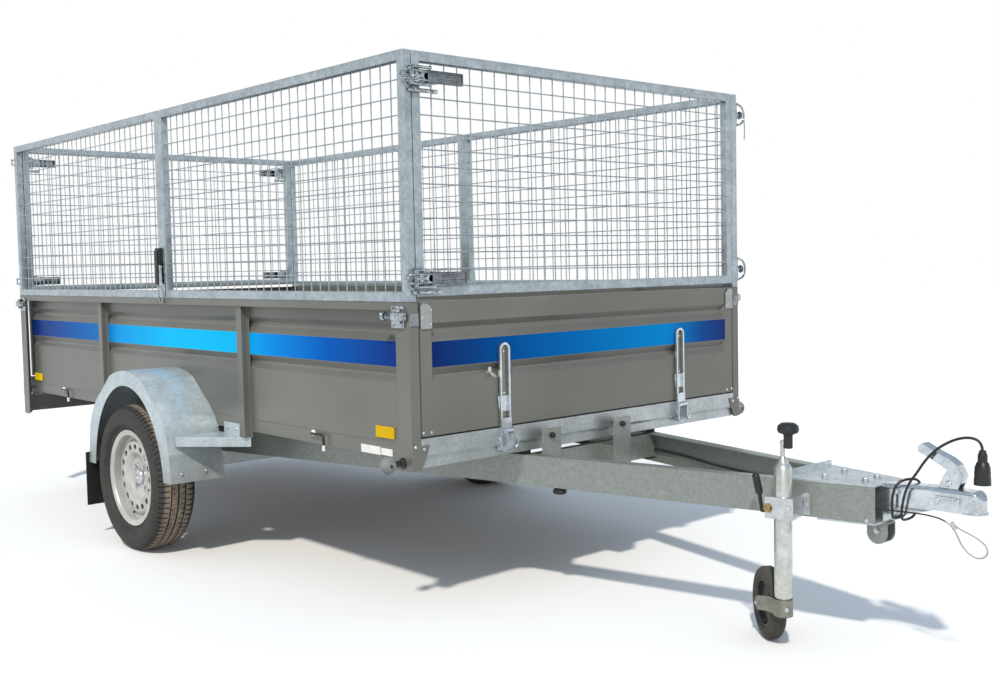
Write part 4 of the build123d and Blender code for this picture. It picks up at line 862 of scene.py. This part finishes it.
for side, sign in SIDES:
    foot = Vector((wheel_x - 0.04, sign * (abs(RIM_Y) - 0.004), wheel_z - 0.133))
    tip = foot + Vector((-0.004, sign * 0.04, -0.01))
    valve = [rod("valve", foot, foot.lerp(tip, 0.75), 0.0048),
             rod("cap", foot.lerp(tip, 0.74), tip, 0.004, 6)]
    fit(joined(f"valve_{side}", valve), black, f"wheel_{side}")


# Lamps: moulded housings with coloured acrylic lenses, the inside ribbed into prisms. Two round
# side markers stand on rubber stems. The reflectors are stuck on.
def lens(name, hex_colour, pitch, clear=0.0):
    """A coloured lens with fine ribs at a pitch in metres."""
    made, tree, shader, place = new_finish(name, 0.14, 0.0)
    shader.inputs["Specular IOR Level"].default_value = 0.08
    ribs = add(tree, "ShaderNodeTexWave", {"bands_direction": "DIAGONAL"}, Vector=place, Scale=1 / pitch)
    tint = add(tree, "ShaderNodeValToRGB", Fac=ribs.outputs["Fac"],
               stops=((0.2, shifted(hex_colour, 0.72)), (0.8, hex_colour)))
    paint(tree, shader, tint.outputs["Color"])
    shader.inputs["Transmission Weight"].default_value = clear
    roughen(tree, shader, ribs.outputs["Fac"], 0.0004, 0.4)
    return made


amber = lens("amber_prism_acrylic", "#ffd200", 0.02)
red = lens("red_lamp_acrylic", "#a81212", 0.03)
clear = lens("clear_ringed_acrylic", "#b8bcbc", 0.012, 0.25)
dress(amber, "reflectors", edge=0.0012)
low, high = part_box("rear_lamps")
LAMP_BACK, LAMP_Z = low[0], (low[2], high[2])
LAMP_WIDE = 0.2
LAMP_IN, LAMP_OUT = high[1] - LAMP_WIDE, high[1]
lamps = []
for side in (-1, 1):
    y0, y1 = span(side * LAMP_IN, side * LAMP_OUT)
    shell = block("shell", (LAMP_BACK + 0.01, y0, LAMP_Z[0]), (REAR, y1, LAMP_Z[1]), 0.006, 3)
    shell.data.materials.append(black)
    lamps.append(shell)
    for share, colour in (((0.02, 0.28), clear), ((0.29, 0.71), red), ((0.72, 0.98), amber)):
        y0, y1 = span(*[side * (LAMP_IN + LAMP_WIDE * at) for at in share])
        glass = block("lens", (LAMP_BACK, y0, LAMP_Z[0] + 0.004), (LAMP_BACK + 0.016, y1, LAMP_Z[1] - 0.004),
                      0.004, 3)
        glass.data.materials.append(colour)
        lamps.append(glass)
lamps = joined("rear_lamp_units", lamps)
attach(lamps, "bed")
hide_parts("rear_lamps")
low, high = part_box("marker_lamps")
marker_x, marker_z = (low[0] + high[0]) / 2, (low[2] + high[2]) / 2
markers = []
STEM = [(0, 0), (0.016, 0), (0.016, 0.004), (0.01, 0.008), (0.0085, 0.014), (0.0105, 0.019), (0.0085, 0.025),
        (0.008, 0.045), (0, 0.045)]
BULB = [(0, 0), (0.005, 0), (0.005, 0.0195), (0, 0.0195)]
cup = [(0, -0.018), (0.016, -0.018), (0.021, -0.012), (0.0225, -0.003), (0.026, -0.003), (0.026, 0.003),
       (0.0225, 0.003), (0.021, 0.009), (0, 0.009)]
dome = [(0, 0.0085), (0.021, 0.0085), (0.021, 0.012), (0.0195, 0.0135), (0.0175, 0.0125), (0.0155, 0.0155),
        (0.013, 0.0145), (0.011, 0.017), (0.008, 0.016), (0.005, 0.018), (0, 0.018)]
for side in (-1, 1):
    at = (marker_x, side * (high[1] - 0.026), marker_z)
    stem = turned("stem", STEM, (marker_x, side * HALF, marker_z), (0, side, 0))
    for piece, finish in ((stem, black), (turned("cup", cup, at, (1, 0, 0)), clear),
                          (turned("front", dome, at, (1, 0, 0)), clear),
                          (turned("bulb", BULB, at, (1, 0, 0)), black),
                          (turned("back", dome, at, (-1, 0, 0)), red)):
        piece.data.materials.append(finish)
        markers.append(piece)
markers = joined("marker_lamp_units", markers)
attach(markers, "bed")
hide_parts("marker_lamps")


# Drawbar: two folded channels and their cross rail, welded at the nose between plates and
# dipped in zinc, with bolts through the coupling. Rubber pads carry the bed, and a thin cable
# runs along the left beam.
drawbar_zinc = zinc("dipped_drawbar_channel", "#868c88", "#959b96", 0.012, 0.36, 0.5)
dress(drawbar_zinc, "drawbar_beam_right", "drawbar_beam_left", "drawbar_crossmember", edge=0.002)
dress(zinc("dipped_head_plate", "#a9b1b6", "#c6ced3", 0.03, 0.34, 0.5), "head_plates", edge=0.002)
dress(drawbar_zinc, "prop_bracket", edge=0.001)
rubber = moulded("moulded_rubber", "#1c1c1b", 0.7, 0.002)
dress(rubber, "rest_pads")
dress(black, "tilt_lock_pins", edge=0.0015)
BEAM_TURN = math.atan(0.2345)
NOSE_HALF = 0.07
nose_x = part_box("drawbar_beam_right")[1][0]


def beam_face(x):
    """The outer face of a drawbar beam, out from the middle, at a place along it."""
    return NOSE_HALF + (nose_x - x) * math.tan(BEAM_TURN)


bolts = []
for side in (-1, 1):
    out = Vector((math.sin(BEAM_TURN), side * math.cos(BEAM_TURN), 0))
    x = nose_x - 0.022
    bolts.append(head("rivet", (x, side * (beam_face(x) + 0.0002), 0.37), out, 0.006, 0.003))
    for x, z in ((nose_x + 0.036, 0.398), (nose_x + 0.04, 0.452)):
        bolts.append(bolt("bolt", (x, side * 0.0302, z), (0, side, 0), 0.017, 0.01))
for back, y in ((0.05, 0.03), (0.05, -0.03), (0.16, 0.05), (0.16, -0.05)):
    bolts.append(bolt("bolt", (nose_x - back, y, 0.466), (0, 0, 1), 0.017, 0.009))
for side in (-1, 1):
    bolts.append(bolt("bolt", (nose_x - 0.022, side * 0.0222, 0.335), (0, side, 0), 0.013, 0.007))
fit(joined("drawbar_bolts", bolts), plated, "drawbar")
stop = turned("stop", [(0, 0), (0.009, 0), (0.02, -0.006), (0.022, -0.016), (0.018, -0.02), (0, -0.02)],
              (FRONT + 0.09, -(beam_face(FRONT + 0.09) - 0.02), 0.365), (0, 0, 1))
fit(stop, rubber, "drawbar")
# The cable's places along the beam, in from its outer face and up.
CABLE = ((FRONT - 0.05, 0.012, 0.4), (1.0, 0.009, 0.402), (1.2, 0.012, 0.39), (1.5, 0.012, 0.392),
         (1.75, 0.012, 0.382), (1.87, 0.012, 0.376))
cable = wire("chassis_cable", [(x, beam_face(x) - inset, z) for x, inset, z in CABLE], 0.0035)
sheath = moulded("lead_sheath", "#181818", 0.5, 0.002)
fit(cable, sheath, "drawbar")


# Ball coupling: pressed steel, zinc-plated to a bright satin, with a wear gauge riveted to the
# right cheek. Its lever is a folded channel on two cheeks.
dress(bright, "coupling_head", edge=0.0015)
dress(bright, "coupling_lever", edge=0.001)
low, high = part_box("coupling_head")
BALL_X = high[0] - 0.034
gauge = [block("plate", (BALL_X - 0.088, -0.0335, 0.432), (BALL_X - 0.022, -0.0295, 0.455), 0.001)]
for back in (0.08, 0.03):
    gauge.append(head("end", (BALL_X - back, -0.0335, 0.4435), (0, -1, 0), 0.008, 0.003, 20))
gauge.append(block("bar", (BALL_X - 0.066, -0.035, 0.44), (BALL_X - 0.044, -0.0335, 0.447), 0.0005))
fit(joined("coupling_gauge", gauge), bright, "drawbar")
pivots = []
for side in (-1, 1):
    pivots.append(head("pivot", (BALL_X - 0.058, side * 0.0172, 0.486), (0, side, 0), 0.008, 0.004, 20))
fit(joined("lever_pivots", pivots), bright, "drawbar")


# Jockey wheel: zinc-plated tube in a bolted cast clamp, with a folded crank under a black knob, a
# bent strap fork and a solid rubber tyre on a pressed hub.
tube_zinc = zinc("drawn_tube_plate", "#b9bbb6", "#d3d5cf", 0.03, 0.3, 0.8)
dress(tube_zinc, "jockey_tube", "jockey_leg", "jockey_crank", edge=0.001)
dress(zinc("fork_plate", "#77756a", "#918f82", 0.02, 0.4, 0.6), "jockey_fork", edge=0.001)
dress(plated, "jockey_clamp", edge=0.002)
dress(black, "clamp_lever", "jockey_knob", edge=0.001)
dress(moulded("greyed_rubber", "#3b3934", 0.75, 0.003), "jockey_tyre", edge=0.002)
dress(moulded("black_hub_plastic", "#2b2b29", 0.45, 0.002), "jockey_hub", edge=0.001)
tube_x = (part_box("jockey_leg")[0][0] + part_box("jockey_leg")[1][0]) / 2
tube_y = (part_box("jockey_leg")[0][1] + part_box("jockey_leg")[1][1]) / 2
turn_in = Vector((math.cos(BEAM_TURN), math.sin(BEAM_TURN), 0))
outward = Vector((math.sin(BEAM_TURN), -math.cos(BEAM_TURN), 0))
CLAMP_Z = 0.398
centre = Vector((tube_x, tube_y, CLAMP_Z))
near_bolt = centre + turn_in * 0.027 + outward * 0.0322 + Vector((0, 0, 0.004))
far_bolt = centre + turn_in * 0.046 - outward * (0.18 - beam_face(tube_x) - 0.006) * 0.97
clamp_bolts = [bolt("bolt", at, outward, 0.013, 0.006) for at in (near_bolt, far_bolt)]
fit(joined("clamp_bolts", clamp_bolts), plated, "drawbar")
brass = zinc("yellow_passivated_nut", "#8a7550", "#b09a6c", 0.01, 0.35, 0.8)
fit(bolt("clamp_nut", centre - turn_in * 0.03 + outward * 0.0322, outward, 0.02, 0.01), brass, "drawbar")
fork_turn = math.radians(141.2)
arm = Vector((math.cos(fork_turn), math.sin(fork_turn), 0))
cross = Vector((-math.sin(fork_turn), math.cos(fork_turn), 0))
TRAIL, WHEEL_Z = 0.13, 0.1
axle_at = Vector((tube_x, tube_y, WHEEL_Z)) + arm * TRAIL
fork_bolts = [bolt("bolt", axle_at + cross * side * 0.0352, cross * side, 0.013, 0.006) for side in (-1, 1)]
fork_bolts.append(bolt("bolt", Vector((tube_x, tube_y, 0.124)) - arm * 0.0251, -arm, 0.01, 0.005))
fit(joined("fork_bolts", fork_bolts), plated, "jockey_fork")


# Lead and breakaway wire: a rubber-sheathed lead wound round the neck, hanging over to its plug,
# and a plastic-covered steel rope whose bare end is crimped into a loop.
LEAD = [(0.985, 0.07, 0.3728), (1.03, 0.059, 0.3728), (1.056, 0.052, 0.375), (1.071, 0.036, 0.375),
        (1.074, -0.003, 0.375), (1.075, -0.036, 0.378), (1.077, -0.043, 0.404), (1.078, -0.043, 0.446),
        (1.088, -0.035, 0.475), (1.1, -0.004, 0.482), (1.112, 0.032, 0.477), (1.112, 0.043, 0.45),
        (1.104, 0.043, 0.408), (1.098, 0.036, 0.378), (1.098, 0.002, 0.374), (1.1, -0.036, 0.378),
        (1.103, -0.043, 0.404), (1.112, -0.044, 0.45), (1.124, -0.039, 0.482), (1.142, -0.035, 0.508),
        (1.158, -0.031, 0.536), (1.18, -0.029, 0.563), (1.208, -0.026, 0.586), (1.24, -0.022, 0.603),
        (1.273, -0.018, 0.61), (1.3, -0.015, 0.6), (1.302, -0.015, 0.578)]
BREAK = [(1.044, -0.068, 0.404), (1.06, -0.066, 0.404), (1.08, -0.057, 0.404), (1.104, -0.052, 0.404),
         (1.146, -0.051, 0.406), (1.186, -0.049, 0.405), (1.218, -0.044, 0.398), (1.236, -0.036, 0.382),
         (1.246, -0.028, 0.358), (1.252, -0.018, 0.332), (1.271, -0.01, 0.31), (1.293, -0.006, 0.304),
         (1.311, -0.004, 0.317), (1.31, -0.004, 0.337), (1.291, -0.008, 0.354), (1.268, -0.016, 0.367),
         (1.249, -0.027, 0.377), (1.2405, -0.031, 0.386)]


def route(points):
    """A route given from the bed's front plane, in place."""
    return [(FRONT + x, y, z) for x, y, z in points]


lead = wire("lead", route(LEAD), 0.0035, solid=False)
fit(lead, sheath, "drawbar", "lead_cable")
rope = wire("rope", route(BREAK), 0.002, solid=False)
BARE_FROM = 1.222
rope_steel, tree, shader, place = new_finish("wire_rope_part_sheathed", 0.45, 0.0)
at = add(tree, "ShaderNodeSeparateXYZ", Vector=place)
bare = add(tree, "ShaderNodeMath", {"operation": "GREATER_THAN"}, _0=at.outputs["X"], _1=FRONT + BARE_FROM)
lay = add(tree, "ShaderNodeTexWave", {"bands_direction": "DIAGONAL"}, Vector=place, Scale=120.0)
strands = add(tree, "ShaderNodeValToRGB", Fac=lay.outputs["Fac"],
              stops=((0.2, "#8b8176"), (0.8, "#cfc6ba"))).outputs["Color"]
mixed = add(tree, "ShaderNodeMix", {"data_type": "RGBA"}, Factor=bare.outputs[0], _6=linear("#171717"),
            _7=strands)
paint(tree, shader, mixed.outputs[2])
roughen(tree, shader, lay.outputs["Fac"], 0.0004)
fit(rope, rope_steel, "drawbar", "breakaway_wire")
crimp = rod("crimp", (FRONT + 1.2335, -0.0345, 0.394), (FRONT + 1.2415, -0.0305, 0.376), 0.0048, 20)
fit(done(edit(crimp)), plated, "drawbar")
end = Vector(route(LEAD)[-1])
PLUG = [(0, 0.002), (0.0075, 0.002), (0.0085, -0.002), (0.0115, -0.01), (0.0115, -0.026), (0.015, -0.03),
        (0.0165, -0.036), (0.0185, -0.04), (0.0185, -0.048), (0.0192, -0.05), (0.0195, -0.058),
        (0.0188, -0.06), (0.02, -0.07), (0.0205, -0.084), (0.0175, -0.084), (0.017, -0.074), (0, -0.074)]
plug = turned("plug", PLUG, end, (0, 0, 1), 40)
fit(plug, black, "drawbar", "lead_plug")


# Stage: a white floor that keeps the shadow, a sky that is white behind the object and bluer
# higher up, a sun behind the camera on its left, and the camera at the photo's viewing angle.
bpy.ops.mesh.primitive_plane_add(size=60)
floor = bpy.context.object
floor.name = "studio_floor"
made, tree, shader, place = new_finish("white_floor", 0.9, 0.0)
shader.inputs["Base Color"].default_value = linear("#fafafa")
shader.inputs["Specular IOR Level"].default_value = 0.0
rays = add(tree, "ShaderNodeLightPath")
seen = add(tree, "ShaderNodeMath", {"operation": "MAXIMUM"}, _0=rays.outputs["Is Camera Ray"],
           _1=rays.outputs["Is Transmission Ray"])
seen = add(tree, "ShaderNodeMath", {"operation": "MAXIMUM"}, _0=seen.outputs[0],
           _1=rays.outputs["Is Glossy Ray"])
tone = add(tree, "ShaderNodeMix", {"data_type": "RGBA"}, Factor=seen.outputs[0], _6=linear("#b0aea8"),
           _7=linear("#fafafa"))
paint(tree, shader, tone.outputs[2])
floor.data.materials.append(made)

world = bpy.data.worlds.new("outdoor_sky")
bpy.context.scene.world = world
world.use_nodes = True
tree = world.node_tree
tree.nodes.clear()
height = add(tree, "ShaderNodeSeparateXYZ", Vector=add(tree, "ShaderNodeTexCoord").outputs["Generated"])
height = add(tree, "ShaderNodeMapRange", Value=height.outputs["Z"], From_Min=-1.0, From_Max=1.0)
sky = add(tree, "ShaderNodeValToRGB", Fac=height.outputs["Result"],
          stops=((0.64, "#ffffff"), (0.7, "#a3b0bd"), (0.8, "#9cb0c6"), (1.0, "#c9d8ea"))).outputs["Color"]
light = add(tree, "ShaderNodeBackground", Color=sky, Strength=1.0)
add(tree, "ShaderNodeOutputWorld", Surface=light.outputs[0])

SUN = Vector((0.4465, -0.532, 0.719))
bpy.ops.object.light_add(type="SUN", rotation=SUN.to_track_quat("Z", "Y").to_euler())
sun = bpy.context.object
sun.data.energy = 2.7
sun.data.color = linear("#fff8ec")[:3]
sun.data.angle = math.radians(3)

CAMERA = Vector((3.47096, -2.76156, 1.06213))
azimuth, elevation, roll = 2.41075, -0.05828, -0.02066
ahead = Vector((math.cos(elevation) * math.cos(azimuth), math.cos(elevation) * math.sin(azimuth),
                math.sin(elevation)))
right = ahead.cross(Vector((0, 0, 1))).normalized()
up = right.cross(ahead)
across = math.cos(roll) * right + math.sin(roll) * up
upward = -math.sin(roll) * right + math.cos(roll) * up
bpy.ops.object.camera_add()
camera = bpy.context.object
camera.matrix_world = Matrix((
    (across.x, upward.x, -ahead.x, CAMERA.x),
    (across.y, upward.y, -ahead.y, CAMERA.y),
    (across.z, upward.z, -ahead.z, CAMERA.z),
    (0, 0, 0, 1),
))
SENSOR, FOCAL, PHOTO_WIDE = 36, 1138.93, 1000
camera.data.sensor_width = SENSOR
camera.data.lens = FOCAL * SENSOR / PHOTO_WIDE
camera.data.shift_x = 0.006
camera.data.shift_y = -0.0159
camera.data.clip_end = 200
bpy.context.scene.camera = camera
bpy.context.scene.view_settings.view_transform = "Standard"
